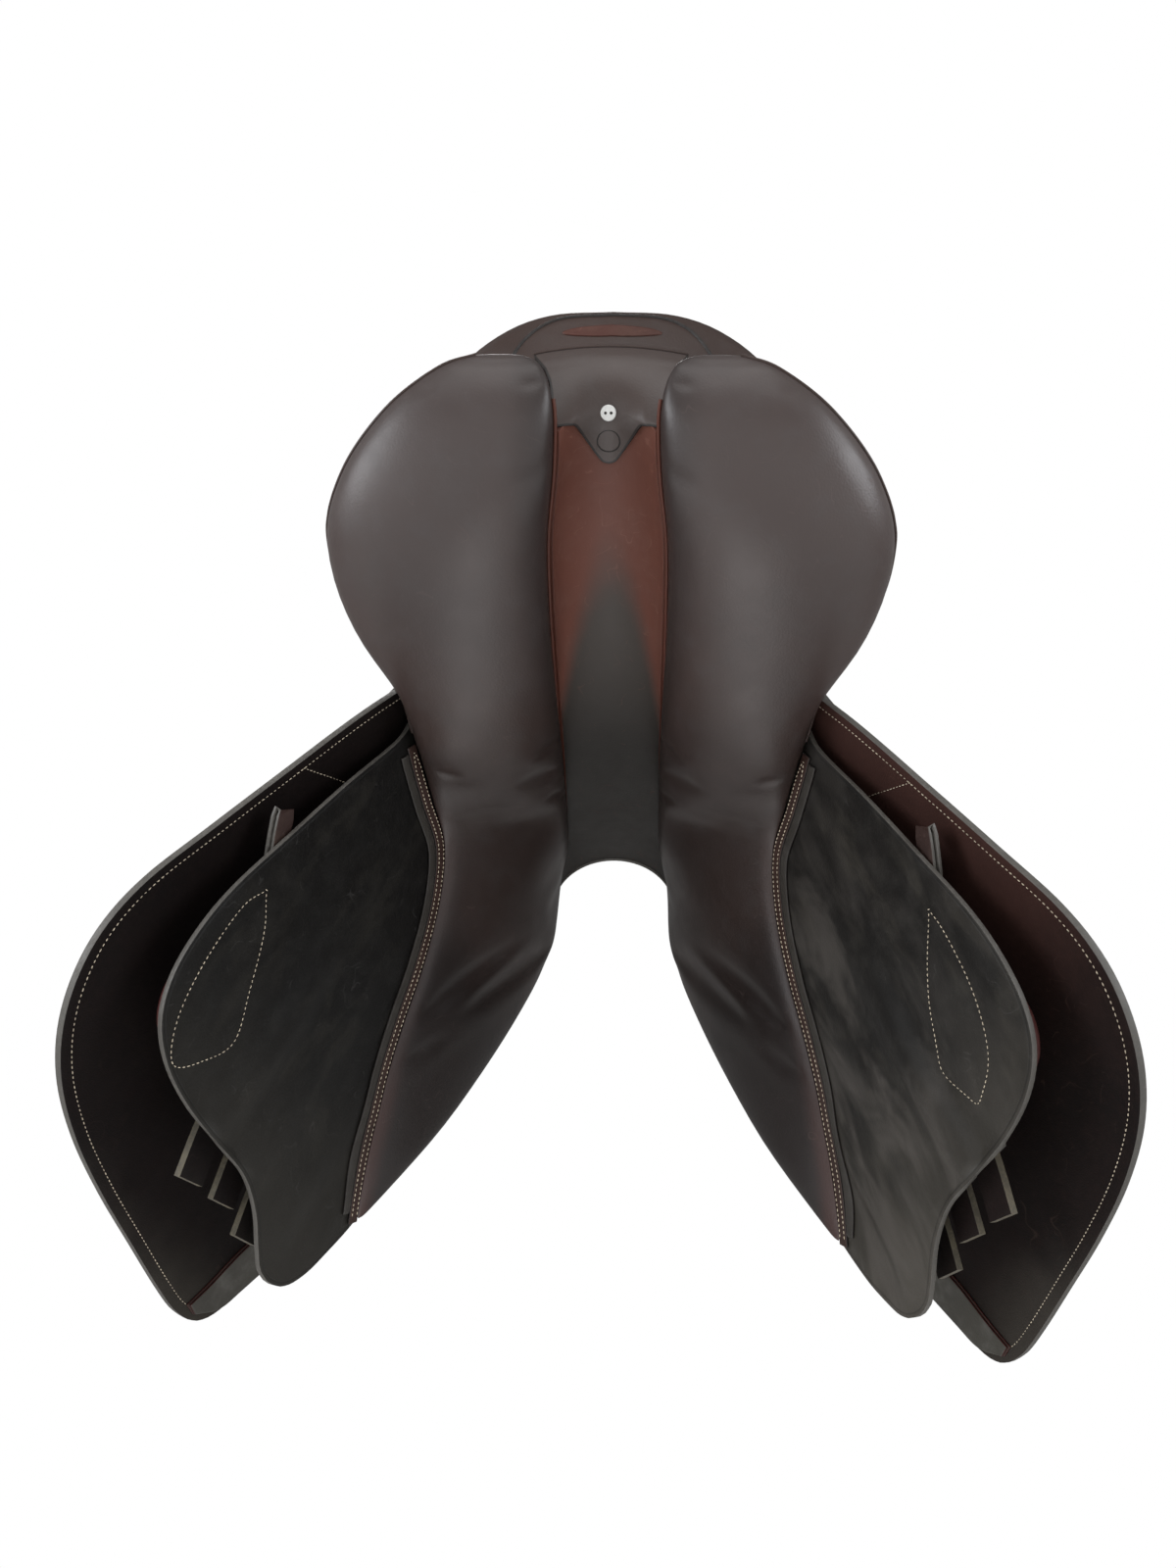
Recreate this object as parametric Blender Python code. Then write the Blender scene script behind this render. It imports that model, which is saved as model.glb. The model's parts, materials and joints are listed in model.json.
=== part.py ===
"""English close-contact jumping saddle, built piece by piece.

Frame: +X points to the horse's head, +Y to the horse's left, +Z up through the
seat. The origin lies on the centre plane, on the level that the panels bear on.
All sizes are metres. Everything on the left side is made first and mirrored.
"""
import math

import bmesh
import bpy
import numpy as np
from mathutils import Matrix, Vector

CM = 0.01
GAP = 0.0003

# Seat and pommel
SEAT_REAR_X = -0.252
SEAT_FRONT_X = 0.218
SEAT_HALF_WIDTH = 0.150
SEAT_COVER_THICKNESS = 0.0025
SEAT_FOAM_THICKNESS = 0.011
FOAM_INSET = 0.0105
FOAM_CLEARANCE = 0.00095
CANTLE_HEIGHT = 0.161
FACING_THICKNESS = 0.0022
CANTLE_BOARD_THICKNESS = 0.009

# Panels and channel
CHANNEL_HALF_WIDTH = 0.038
PAD_HALF_SPREAD = 0.175
PAD_DEPTH = 0.036
PANEL_FRONT_DEPTH = 0.017
PANEL_UNDER_STEPS = 11
PANEL_CLEARANCE = 0.0008
LINING_THICKNESS = 0.0025
TONGUE_THICKNESS = 0.003
TONGUE_HALF_WIDTH = 0.0285
BUTTON_RADIUS = 0.0045
BUTTON_THICKNESS = 0.0022

# Side leather
FLAP_THICKNESS = 0.0045
SWEAT_FLAP_THICKNESS = 0.0035
SKIRT_THICKNESS = 0.0035
SKIRT_RISE = 0.0042
SKIRT_ROOM = 0.0170
SEAM_STRIP_WIDTH = 0.007
SEAM_STRIP_THICKNESS = 0.0016
BLOCK_DEPTH = 0.015
KNEE_BLOCK_DEPTH = 0.020
KNEE_PAD_DEPTH = 0.009
KEEPER_WIDTH = 0.013
KEEPER_THICKNESS = 0.0022
KEEPER_SPREAD = 0.0040

# Girth straps and their guard
BILLET_WIDTH = 0.025
BILLET_THICKNESS = 0.0042
BILLET_HOLE_RADIUS = 0.0024
BILLET_HOLE_PITCH = 0.024
BILLET_HOLES = 6
BILLET_TOP_Z = 0.004
GUARD_THICKNESS = 0.0030
GUARD_HEIGHT = 0.062
GUARD_MARGIN = 0.009
GUARD_CLEARANCE = 0.0008

# Tree
RAIL_WIDTH = 0.022
RAIL_THICKNESS = 0.009
RAIL_CLEARANCE = 0.0012
ARCH_THICKNESS = 0.0050
ARCH_REAR_X = 0.145
ARCH_FRONT_X = 0.185
POINT_THICKNESS = 0.0070
SPRING_WIDTH = 0.014
SPRING_THICKNESS = 0.0016
WEB_WIDTH = 0.030
WEB_THICKNESS = 0.0020

# Stirrup bars
BAR_REAR_X = 0.052
BAR_LENGTH = 0.086
BAR_WIDTH = 0.013
BAR_THICKNESS = 0.0065
BAR_STANDOFF = 0.010
BAR_PLATE_THICKNESS = 0.0035
BAR_PLATE_HEIGHT = 0.026
CATCH_LENGTH = 0.021
CATCH_PIN_RADIUS = 0.0020

# Front dee rings
DEE_WIDTH = 0.020
DEE_HEIGHT = 0.022
DEE_WIRE = 0.0015


def cm(points):
    """Centimetre points as a metre array."""
    return np.array(points, float) * CM


def spline(points, count):
    """Catmull-Rom curve through the points, at equal steps or at given shares of its length."""
    p = np.asarray(points, float)
    ends = np.vstack([2 * p[0] - p[1], p, 2 * p[-1] - p[-2]])
    dense = []
    for i in range(len(p) - 1):
        a, b, c, d = ends[i:i + 4]
        for t in np.linspace(0, 1, 24, endpoint=False):
            dense.append(0.5 * (2 * b + (c - a) * t + (2 * a - 5 * b + 4 * c - d) * t * t
                                + (3 * b - a - 3 * c + d) * t ** 3))
    dense = np.array(dense + [p[-1]])
    run = np.concatenate([[0], np.cumsum(np.linalg.norm(np.diff(dense, axis=0), axis=1))])
    shares = np.linspace(0, 1, count) if np.ndim(count) == 0 else np.asarray(count)
    stops = shares * run[-1]
    return np.stack([np.interp(stops, run, dense[:, k]) for k in range(dense.shape[1])], 1)


def along(points, x):
    """Smooth height read from (x, value) points at x."""
    curve = spline(points, 160)
    return np.interp(x, curve[:, 0], curve[:, 1])


def unit(v):
    """The vector at length one."""
    v = np.asarray(v, float)
    return v / np.linalg.norm(v)


def grid_faces(rows, cols, wrap=False):
    """Quads of a rows by cols grid of points, wrapped along a row if asked."""
    last = cols if wrap else cols - 1
    faces = []
    for r in range(rows - 1):
        for c in range(last):
            n = (c + 1) % cols
            faces.append((r * cols + c, r * cols + n, (r + 1) * cols + n, (r + 1) * cols + c))
    return faces


def material(name, colour, roughness, metallic=0.0):
    """Plain shader material with one colour."""
    mat = bpy.data.materials.new(name)
    mat.use_nodes = True
    shader = mat.node_tree.nodes["Principled BSDF"]
    shader.inputs["Base Color"].default_value = (*colour, 1.0)
    shader.inputs["Roughness"].default_value = roughness
    shader.inputs["Metallic"].default_value = metallic
    return mat


def add_object(name, bm, mat, smooth=True, sharp=35.0):
    """New object from a bmesh, with its faces turned outwards."""
    bmesh.ops.remove_doubles(bm, verts=bm.verts, dist=1e-6)
    bmesh.ops.recalc_face_normals(bm, faces=bm.faces)
    if bm.calc_volume(signed=True) < 0:
        bmesh.ops.reverse_faces(bm, faces=bm.faces)
    mesh = bpy.data.meshes.new(name)
    bm.to_mesh(mesh)
    bm.free()
    mesh.materials.append(mat)
    if smooth:
        mesh.shade_smooth()
        mesh.set_sharp_from_angle(angle=math.radians(sharp))
    obj = bpy.data.objects.new(name, mesh)
    bpy.context.collection.objects.link(obj)
    return obj


def from_points(points, faces):
    """Bmesh of the points joined by the faces."""
    bm = bmesh.new()
    verts = [bm.verts.new(Vector(p)) for p in points]
    for face in faces:
        bm.faces.new([verts[i] for i in face])
    return bm


def loft(name, rings, mat, smooth=True, sharp=35.0):
    """Closed solid through closed rings of equal point count, capped at both ends."""
    rings = np.asarray(rings, float)
    count, size = rings.shape[:2]
    faces = grid_faces(count, size, wrap=True)
    faces.append(tuple(reversed(range(size))))
    faces.append(tuple(range((count - 1) * size, count * size)))
    return add_object(name, from_points(rings.reshape(-1, 3), faces), mat, smooth, sharp)


def thick_sheet(name, grid, thickness, mat, both=True):
    """Solid sheet from a grid of middle-surface points, thickened by Solidify."""
    grid = np.asarray(grid, float)
    rows, cols = grid.shape[:2]
    bm = from_points(grid.reshape(-1, 3), grid_faces(rows, cols))
    obj = add_object(name, bm, mat)
    solid = obj.modifiers.new("Thickness", "SOLIDIFY")
    solid.thickness = thickness
    solid.offset = 0.0 if both else -1.0
    solid.use_even_offset = True
    return obj


def bar(name, path, across, width, thickness, mat, smooth=True):
    """Flat bar swept along a path; across gives the direction of its width."""
    path = np.asarray(path, float)
    rings = []
    for i, point in enumerate(path):
        tangent = unit(path[min(i + 1, len(path) - 1)] - path[max(i - 1, 0)])
        side = np.asarray(across[i] if np.ndim(across) == 2 else across, float)
        side = unit(side - tangent * side.dot(tangent))
        up = np.cross(tangent, side)
        w, t = side * width / 2, up * thickness / 2
        rings.append([point - w - t, point + w - t, point + w + t, point - w + t])
    return loft(name, rings, mat, smooth)


def tube_ring(centre, u, v, radius, count=8):
    """Points round a circle in the plane of u and v."""
    angles = np.arange(count) * 2 * math.pi / count
    return [centre + radius * (math.cos(a) * u + math.sin(a) * v) for a in angles]


def cylinder(name, start, end, radius, mat, count=10):
    """Closed round rod between two points."""
    start, end = np.asarray(start, float), np.asarray(end, float)
    axis = unit(end - start)
    u = unit(np.cross(axis, [0.3, 0.2, 1.0]))
    v = np.cross(axis, u)
    return loft(name, [tube_ring(p, u, v, radius, count) for p in (start, end)], mat)


def mirrored(obj, name):
    """Right-hand copy of a left-hand piece, taken after its modifiers."""
    depsgraph = bpy.context.evaluated_depsgraph_get()
    mesh = bpy.data.meshes.new_from_object(obj.evaluated_get(depsgraph))
    mesh.name = name
    mesh.transform(Matrix.Scale(-1, 4, (0, 1, 0)) @ obj.matrix_world)
    mesh.flip_normals()
    copy = bpy.data.objects.new(name, mesh)
    bpy.context.collection.objects.link(copy)
    return copy


def pair(obj, pivot=None):
    """Name a left piece NAME_left and add its mirror NAME_right, origins on the pivot if it moves."""
    base = obj.name
    obj.name = base + "_left"
    other = mirrored(obj, base + "_right")
    if pivot is not None:
        for piece, side in ((obj, 1), (other, -1)):
            at = Vector((pivot[0], side * pivot[1], pivot[2]))
            piece.data.transform(Matrix.Translation(-at))
            piece.location = at


# Side surfaces: the distance from the centre plane of each layer of leather

def sweat_surface(x, z):
    """Middle of the sweat flap, which follows the horse's side."""
    u = x + 3.9 * CM
    e = -z - 1.8 * CM
    lower = 0.44 * e - 0.15 * u * e - 0.6 * np.maximum(e - 18.2 * CM, 0) ** 2
    upper = 0.05 * e + 0.39 * 2.4 * CM * (np.exp(np.minimum(e, 0) / (2.4 * CM)) - 1)
    return 14.1 * CM - 0.31 * u + np.where(e > 0, lower, upper)


def flap_surface(x, z):
    """Middle of the outer flap, which stands off the sweat flap and curls in at the front."""
    v = x + 6.3 * CM
    d = -z
    lower = 0.69 * d - 0.48 * d * d
    upper = 0.22 * d + 0.45 * 3 * CM * (np.exp(np.minimum(d, 0) / (3 * CM)) - 1)
    return 15.0 * CM - 0.15 * v - 0.30 * v * v + np.where(d > 0, lower, upper)


def offset_surface(surface, distance):
    """The surface moved along its own outward normal."""
    def moved(x, z):
        h = 1e-4
        dx = (surface(x + h, z) - surface(x - h, z)) / (2 * h)
        dz = (surface(x, z + h) - surface(x, z - h)) / (2 * h)
        return surface(x, z) + distance * np.sqrt(1 + dx * dx + dz * dz)
    return moved


def side_grid(rear, front, surface, rows, cols):
    """Grid between a rear and a front edge, both (x, z) outlines, laid on a surface."""
    a, b = spline(rear, rows), spline(front, rows)
    s = np.linspace(0, 1, cols)[None, :, None]
    xz = a[:, None] * (1 - s) + b[:, None] * s
    return np.stack([xz[..., 0], surface(xz[..., 0], xz[..., 1]), xz[..., 1]], -1)


# Outlines on the horse's left side, as (x, z)

FLAP_HINGE_REAR = np.array([-0.050, 0.128, 0.044])
FLAP_HINGE_FRONT = np.array([0.195, 0.0645, 0.066])
FLAP_REAR = cm([(-5.0, 4.2), (-6.2, -0.2), (-7.0, -7.2), (-7.7, -12.2), (-8.4, -16.5), (-8.2, -19.6),
                (-7.1, -22.2), (-5.2, -24.5), (-2.5, -26.4), (1.2, -28.0), (5.7, -29.4),
                (10.5, -30.7), (14.7, -31.9), (17.0, -32.5), (18.3, -32.65)])
FLAP_FRONT = cm([(19.5, 6.2), (22.0, 4.0), (25.2, 0.0), (27.4, -5.5), (28.0, -12.0), (26.8, -18.5),
                 (24.4, -25.0), (21.9, -30.0), (20.9, -31.7), (19.9, -32.45), (18.9, -32.67)])
SWEAT_REAR = cm([(-3.9, 0.2), (-4.0, -2.0), (-5.0, -6.5), (-5.9, -11.7), (-6.5, -15.5), (-6.5, -18.4),
                 (-5.9, -21.2), (-4.6, -23.4), (-2.4, -25.0), (0.6, -26.1), (4.1, -26.8),
                 (7.2, -27.4), (9.6, -28.7), (11.4, -30.4), (12.4, -31.3), (13.4, -31.65)])
SWEAT_FRONT = cm([(20.4, 1.6), (21.6, -0.8), (22.1, -4.5), (21.9, -9.8), (20.9, -15.2),
                  (20.0, -20.0), (18.5, -26.0), (16.9, -29.3), (15.9, -30.8), (14.9, -31.5),
                  (14.0, -31.68)])
PANEL_INNER = cm([(-26.5, 4.9, 8.0), (-26.1, 3.75, 7.4), (-24.5, 3.1, 6.1), (-21.0, 3.2, 4.9),
                  (-16.5, 3.7, 4.0), (-11.5, 3.8, 3.4), (-6.5, 3.8, 3.3), (-1.5, 3.8, 3.4),
                  (3.5, 3.8, 3.8), (8.5, 3.9, 4.4), (13.0, 4.0, 5.0), (17.0, 4.2, 5.5),
                  (20.2, 4.9, 4.0), (21.8, 6.0, 0.2), (22.5, 7.0, -4.5), (22.2, 9.0, -9.8),
                  (21.2, 11.5, -15.2), (20.2, 14.0, -20.0), (18.9, 16.6, -25.2)])
WAIST_INNER_EDGE = PANEL_INNER[6, 1]
PANEL_OUTER = cm([(-26.5, 7.4, 8.0), (-26.0, 9.6, 7.4), (-24.0, 12.8, 6.3), (-20.5, 15.8, 5.1),
                  (-16.3, 17.3, 4.0), (-11.0, 16.5, 2.6), (-6.6, 14.1, 0.9), (-3.0, 13.1, -0.9),
                  (1.0, 12.2, -2.3), (5.0, 11.3, -3.6), (8.0, 11.0, -6.6), (10.2, 12.0, -10.4),
                  (11.8, 13.5, -14.2), (13.2, 14.5, -17.2), (14.6, 15.2, -19.6), (15.8, 15.8, -21.8),
                  (16.9, 16.2, -23.6), (17.8, 16.6, -25.0), (18.5, 16.8, -26.0)])
ROOF = cm([(-24.6, 8.3), (-18.0, 7.2), (-10.0, 5.7), (-2.0, 4.9), (6.0, 5.0), (12.0, 5.7),
           (17.0, 6.7), (20.9, 7.5)])
SEAT_EDGE = cm([(-25.2, 0.0, 15.35), (-25.0, 3.8, 15.3), (-24.1, 6.9, 14.75), (-22.3, 9.8, 13.5), (-18.8, 13.1, 11.2),
                (-14.0, 15.0, 8.9), (-9.0, 14.5, 7.7), (-4.0, 12.2, 7.2), (1.0, 9.8, 7.2),
                (6.0, 8.1, 7.5), (11.0, 7.4, 8.0), (15.0, 7.5, 8.5), (18.6, 7.1, 9.2),
                (21.0, 4.6, 10.2), (21.8, 0.0, 10.8)])
SEAT_LIP = cm([(-24.0, 0.0, 9.7), (-23.75, 3.8, 9.65), (-22.9, 6.6, 9.4), (-21.3, 9.1, 9.0), (-18.2, 12.4, 7.9),
               (-13.8, 14.3, 6.7), (-9.0, 13.9, 6.0), (-4.0, 11.8, 5.9), (1.0, 9.5, 6.2),
               (6.0, 7.9, 6.6), (11.0, 7.2, 7.0), (15.0, 7.3, 7.4), (18.4, 6.8, 8.0),
               (20.6, 4.4, 8.8), (21.3, 0.0, 9.2)])
SEAT_SPINE = cm([(-22.0, 14.9), (-19.5, 12.7), (-16.0, 10.6), (-10.0, 8.7), (-4.0, 8.0), (2.0, 8.3),
                 (8.0, 9.5), (14.0, 11.3), (18.0, 12.4), (19.5, 12.5)])


def panel_rings(count=30, under=PANEL_UNDER_STEPS, over=7):
    """Rings of the left panel: a crowned cushion behind, a padded slab in front."""
    inner = PANEL_INNER.copy()
    inner[:, 1] += CHANNEL_HALF_WIDTH - WAIST_INNER_EDGE
    outer = PANEL_OUTER.copy()
    widest = PANEL_OUTER[np.argmax(PANEL_OUTER[:, 1])]
    outer[:, 1] += (PAD_HALF_SPREAD - widest[1]) * np.clip(outer[:, 0] / widest[0], 0, 1)
    stations = np.linspace(0, 1, len(inner))
    swell = np.interp(stations, [0, 0.06, 0.12, 0.17, 0.23, 0.33, 0.45, 0.60, 1.0],
                      [0.08, 0.3, 0.62, 0.86, 1.0, 0.92, 0.66, 0.5, 0.45])
    lift = np.interp(stations, [0, 0.06, 0.12, 0.17, 0.23, 0.33, 0.45, 0.60, 1.0],
                     [0.002, 0.008, 0.015, 0.022, 0.029, 0.027, 0.018, 0.008, 0.002])
    side_inner = np.interp(stations, [0.60, 0.76], [0.0, 1.0])
    side_outer = np.interp(stations, [0.38, 0.50], [0.0, 1.0])
    data = spline(np.column_stack([inner, outer, swell, lift, side_inner, side_outer]), count)
    face = offset_surface(sweat_surface, -SWEAT_FLAP_THICKNESS / 2 - PANEL_CLEARANCE)
    rings = []
    for row in data:
        a, b, depth, rise = row[:3], row[3:6], row[6] * PAD_DEPTH, row[7]
        turn_inner, turn_outer = np.clip(row[8:], 0, 1)
        w = (turn_inner + turn_outer) / 2
        slab = PANEL_FRONT_DEPTH * min(1.0, np.linalg.norm(b - a) / 0.10)
        down = np.array([0, -w, -1 + 0.6 * w])
        chord = unit(b - a)
        down = unit(down - chord * down.dot(chord))
        ring = []
        for below, steps in ((True, under), (False, over)):
            phi = np.linspace(0, math.pi, steps + 1)[:-1]
            s = (1 - np.cos(phi)) / 2
            bulge = np.sin(phi) ** np.where(s < 0.5, 0.8, 0.8 + 0.35 * w)
            if not below:
                s = 1 - s
                bulge = np.sin(phi) ** 0.9
            base = a + s[:, None] * (b - a)
            pillow = base + bulge[:, None] * down * (depth if below else -rise)
            y = face(base[:, 0], base[:, 2])
            slab_y = y - (bulge * slab if below else 0.0)
            flat = np.stack([base[:, 0], slab_y, base[:, 2]], 1)
            lean = (turn_inner * (1 - s) + turn_outer * s)[:, None]
            mixed = pillow * (1 - lean) + flat * lean
            if a[0] > -0.02:
                limit = face(mixed[:, 0], mixed[:, 2]) - 0.0006
                mixed[:, 1] = np.minimum(mixed[:, 1], limit)
            ring.extend(mixed)
        rings.append(ring)
    return np.array(rings)


def channel_edge(x):
    """Sideways place and height of the panel's inner edge at x."""
    edge = spline(PANEL_INNER[2:15], 160)
    return (np.interp(x, edge[:, 0], edge[:, 1]) + CHANNEL_HALF_WIDTH - WAIST_INNER_EDGE,
            np.interp(x, edge[:, 0], edge[:, 2]))


def lining_height(x, y):
    """Height of the arched roof of the channel above a point between the panels."""
    half, foot = channel_edge(x)
    roof = along(ROOF, x)
    return foot + (roof - foot) * np.sqrt(np.maximum(1 - (y / (half - LINING_THICKNESS / 2)) ** 2, 0))


def lining_grid(rear_x, front_x, rows, cols):
    """Arched leather roof between the panels."""
    grid = []
    t = np.linspace(-1, 1, cols)
    for x in np.linspace(rear_x, front_x, rows):
        half = channel_edge(x)[0] - GAP * 2 - LINING_THICKNESS / 2
        y = half * np.sin(t * math.pi / 2)
        grid.append(np.stack([np.full(cols, x), y, lining_height(x, y)], 1))
    return np.array(grid)


def seat_rings(offset, rings=7, around=20):
    """Seat surface from the lip up over the edge to the spine, left half then right half."""
    edge = SEAT_EDGE.copy()
    lip = SEAT_LIP.copy()
    for points in (edge, lip):
        points[:, 1] *= SEAT_HALF_WIDTH / 0.150
        rear = points[:, 0] < 0
        points[rear, 0] *= SEAT_REAR_X / -0.252
        points[~rear, 0] *= SEAT_FRONT_X / 0.218
    edge[:4, 2] += CANTLE_HEIGHT - 0.161
    both = spline(np.column_stack([edge, lip]), around)
    e, l = both[:, :3], both[:, 3:]
    spine = SEAT_SPINE.copy()
    spine[:2, 1] += CANTLE_HEIGHT - 0.161
    xs = np.clip(e[:, 0] * 0.88, spine[0, 0], spine[-1, 0])
    core = np.stack([xs, np.zeros(around), along(spine, xs)], 1)
    rows = [l, l * 0.35 + e * 0.65]
    for r in np.linspace(0, 1, rings):
        lift = math.sin(r * math.pi / 2) ** 0.55
        ring = e * (1 - r) + core * r
        crown = 0.008 * (lift - r)
        ring[:, 2] = e[:, 2] + (core[:, 2] - e[:, 2]) * (r ** 1.25) + crown
        rows.append(ring)
    half = np.array(rows)
    other = half[:, 1:-1][:, ::-1] * np.array([1, -1, 1])
    whole = np.concatenate([half, other], 1)
    if offset:
        du = np.roll(whole, -1, 1) - np.roll(whole, 1, 1)
        dv = np.gradient(whole, axis=0)
        normal = np.cross(du, dv)
        normal[-1] = normal[-2] * [1, 0, 1]
        normal *= np.sign(normal[-2, around // 2, 2])
        normal /= np.maximum(np.linalg.norm(normal, axis=2, keepdims=True), 1e-12)
        whole = whole + offset * normal
    return whole


def shell(name, outer, inner, mat):
    """Closed solid between two like grids of rings that both close on a spine."""
    rows, cols = outer.shape[:2]
    size = rows * cols
    faces = grid_faces(rows, cols, wrap=True)
    faces += [tuple(reversed([i + size for i in face])) for face in grid_faces(rows, cols, wrap=True)]
    for c in range(cols):
        n = (c + 1) % cols
        faces.append((c, c + size, n + size, n))
    points = np.concatenate([outer.reshape(-1, 3), inner.reshape(-1, 3)])
    bm = bmesh.new()
    verts = [bm.verts.new(Vector(p)) for p in points]
    for face in faces:
        bm.faces.new([verts[i] for i in face])
    bmesh.ops.remove_doubles(bm, verts=bm.verts, dist=1e-5)
    bmesh.ops.dissolve_degenerate(bm, edges=bm.edges, dist=1e-6)
    return add_object(name, bm, mat)


def slab(name, upper, lower, mat):
    """Closed solid between two like open grids of points."""
    rows, cols = upper.shape[:2]
    size = rows * cols
    top = grid_faces(rows, cols)
    faces = top + [tuple(reversed([i + size for i in face])) for face in top]
    border = list(range(cols)) + [r * cols + cols - 1 for r in range(1, rows)]
    border += [(rows - 1) * cols + c for c in range(cols - 2, -1, -1)]
    border += [r * cols for r in range(rows - 2, 0, -1)]
    for i, here in enumerate(border):
        after = border[(i + 1) % len(border)]
        faces.append((after, here, here + size, after + size))
    points = np.concatenate([upper.reshape(-1, 3), lower.reshape(-1, 3)])
    return add_object(name, from_points(points, faces), mat)


def pillow_on_side(name, rear, front, surface, depth, mat, rows=9, steps=7):
    """Low cushion lying on a side surface, flat on its bed and crowned outwards."""
    a, b = spline(rear, rows), spline(front, rows)
    rings = []
    for i in range(rows):
        swell = max(math.sin(math.pi * (i + 0.35) / (rows - 0.3)), 0.05) ** 0.6
        phi = np.linspace(0, math.pi, steps)
        s = (1 - np.cos(phi)) / 2
        xz = a[i] * (1 - s[:, None]) + b[i] * s[:, None]
        top = surface(xz[:, 0], xz[:, 1]) + depth * swell * np.sin(phi) ** 0.6
        bed = surface(xz[:, 0], xz[:, 1])
        crown = np.stack([xz[:, 0], top, xz[:, 1]], 1)
        floor = np.stack([xz[:, 0], bed, xz[:, 1]], 1)[1:-1][::-1]
        rings.append(np.concatenate([crown, floor]))
    return loft(name, rings, mat)


def boolean(obj, other, operation):
    """Cut or join obj with a helper that is not rendered."""
    cut = obj.modifiers.new(operation.title(), "BOOLEAN")
    cut.operation = operation
    cut.solver = "EXACT"
    cut.object = other
    other.hide_render = True
    other.hide_viewport = False
    other.display_type = "WIRE"


def apply_modifiers(obj, remove=()):
    """Keep the evaluated mesh and delete the helpers that shaped it."""
    depsgraph = bpy.context.evaluated_depsgraph_get()
    mesh = bpy.data.meshes.new_from_object(obj.evaluated_get(depsgraph))
    obj.modifiers.clear()
    obj.data = mesh
    for helper in remove:
        bpy.data.objects.remove(helper)


def strap_surface(x, z):
    """Middle of the girth straps, between the two flaps."""
    d = np.maximum(-z, 0)
    return flap_surface(x, z) - (0.85 * CM + 0.07 * d + 0.26 * d * d)


def hinge_height(x):
    """Height of the flap's fold line above the tree rail."""
    share = (x - FLAP_HINGE_REAR[0]) / (FLAP_HINGE_FRONT[0] - FLAP_HINGE_REAR[0])
    return FLAP_HINGE_REAR[2] + share * (FLAP_HINGE_FRONT[2] - FLAP_HINGE_REAR[2])


def hinge_distance(x):
    """Distance of the flap's fold line from the centre plane."""
    share = (x - FLAP_HINGE_REAR[0]) / (FLAP_HINGE_FRONT[0] - FLAP_HINGE_REAR[0])
    return FLAP_HINGE_REAR[1] + share * (FLAP_HINGE_FRONT[1] - FLAP_HINGE_REAR[1])


def ease(x, start, end):
    """Smooth step from nought at start to one at end."""
    t = np.clip((x - start) / (end - start), 0, 1)
    return t * t * (3 - 2 * t)


def panels(mats):
    """Flocked panels and the strip that covers their seam to the sweat flap."""
    rings = panel_rings()
    pair(loft("panel", rings, mats["panel"], sharp=60))
    seam = rings[:, PANEL_UNDER_STEPS][:, [0, 2]]
    seam = seam[seam[:, 0] > PANEL_OUTER[7, 0]]
    step = np.gradient(seam, axis=0)
    step /= np.linalg.norm(step, axis=1, keepdims=True)
    away = np.stack([step[:, 1], -step[:, 0]], 1)
    bed = offset_surface(sweat_surface, -(SWEAT_FLAP_THICKNESS + SEAM_STRIP_THICKNESS) / 2 - GAP)
    near = seam + away * 0.001
    far = seam + away * (0.001 + SEAM_STRIP_WIDTH)
    edges = np.stack([far, near], 1)
    strip = np.stack([edges[..., 0], bed(edges[..., 0], edges[..., 1]), edges[..., 1]], -1)
    pair(thick_sheet("seam_strip", strip, SEAM_STRIP_THICKNESS, mats["welt"]))


def channel(mats):
    """Leather roof of the channel and the shaped tongue that closes it behind."""
    thick_sheet("channel_lining", lining_grid(-0.226, 0.211, 16, 11), LINING_THICKNESS, mats["lining"])
    drop = (LINING_THICKNESS + TONGUE_THICKNESS) / 2 + GAP * 4
    below = [(x, along(ROOF, x) - drop) for x in cm([-22.8, -21.6, -20.4, -19.8])]
    path = spline(np.concatenate([cm([(-24.95, 11.5), (-24.9, 10.4), (-24.5, 9.3), (-23.8, 8.35)]), below]), 20)
    tangent = np.gradient(path, axis=0)
    tangent /= np.linalg.norm(tangent, axis=1, keepdims=True)
    normal = np.stack([tangent[:, 1], -tangent[:, 0]], 1)
    share = np.linspace(0, 1, len(path))
    half = np.interp(share, [0, 0.12, 0.30, 0.56, 0.60, 0.66, 0.74, 0.82, 0.91, 0.97, 1.0],
                     [1.30, 1.22, 1.0, 1.0, 0.64, 0.50, 0.41, 0.32, 0.20, 0.10, 0.04]) * TONGUE_HALF_WIDTH
    t = np.linspace(-1, 1, 7)
    grid = []
    for p, h in zip(path, half):
        flat = np.interp(p[0], cm([-24.8, -23.0]), [0.0, 1.0])
        at = max(p[0], -0.23)
        x = p[0] + (1 - flat) * 0.0020 * (t * h / TONGUE_HALF_WIDTH) ** 2
        z = p[1] - flat * (lining_height(at, 0.0) - lining_height(at, t * h))
        grid.append(np.stack([x, t * h, z], 1))
    thick_sheet("rear_tongue", grid, TONGUE_THICKNESS, mats["trim"])
    middle = int(np.argmin(np.abs(path[:, 0] + 0.230)))
    p, n = path[middle], normal[middle]
    face = TONGUE_THICKNESS / 2 + GAP * 2
    start = np.array([p[0] + n[0] * face, 0, p[1] + n[1] * face])
    out = np.array([n[0], 0, n[1]])
    ring = [tube_ring(start + out * d, np.array([0, 1.0, 0]), np.cross(out, [0, 1.0, 0]), r, 16)
            for d, r in ((0, BUTTON_RADIUS * 0.92), (BUTTON_THICKNESS * 0.6, BUTTON_RADIUS),
                         (BUTTON_THICKNESS, BUTTON_RADIUS * 0.8))]
    loft("tongue_button", ring, mats["button"])


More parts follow.
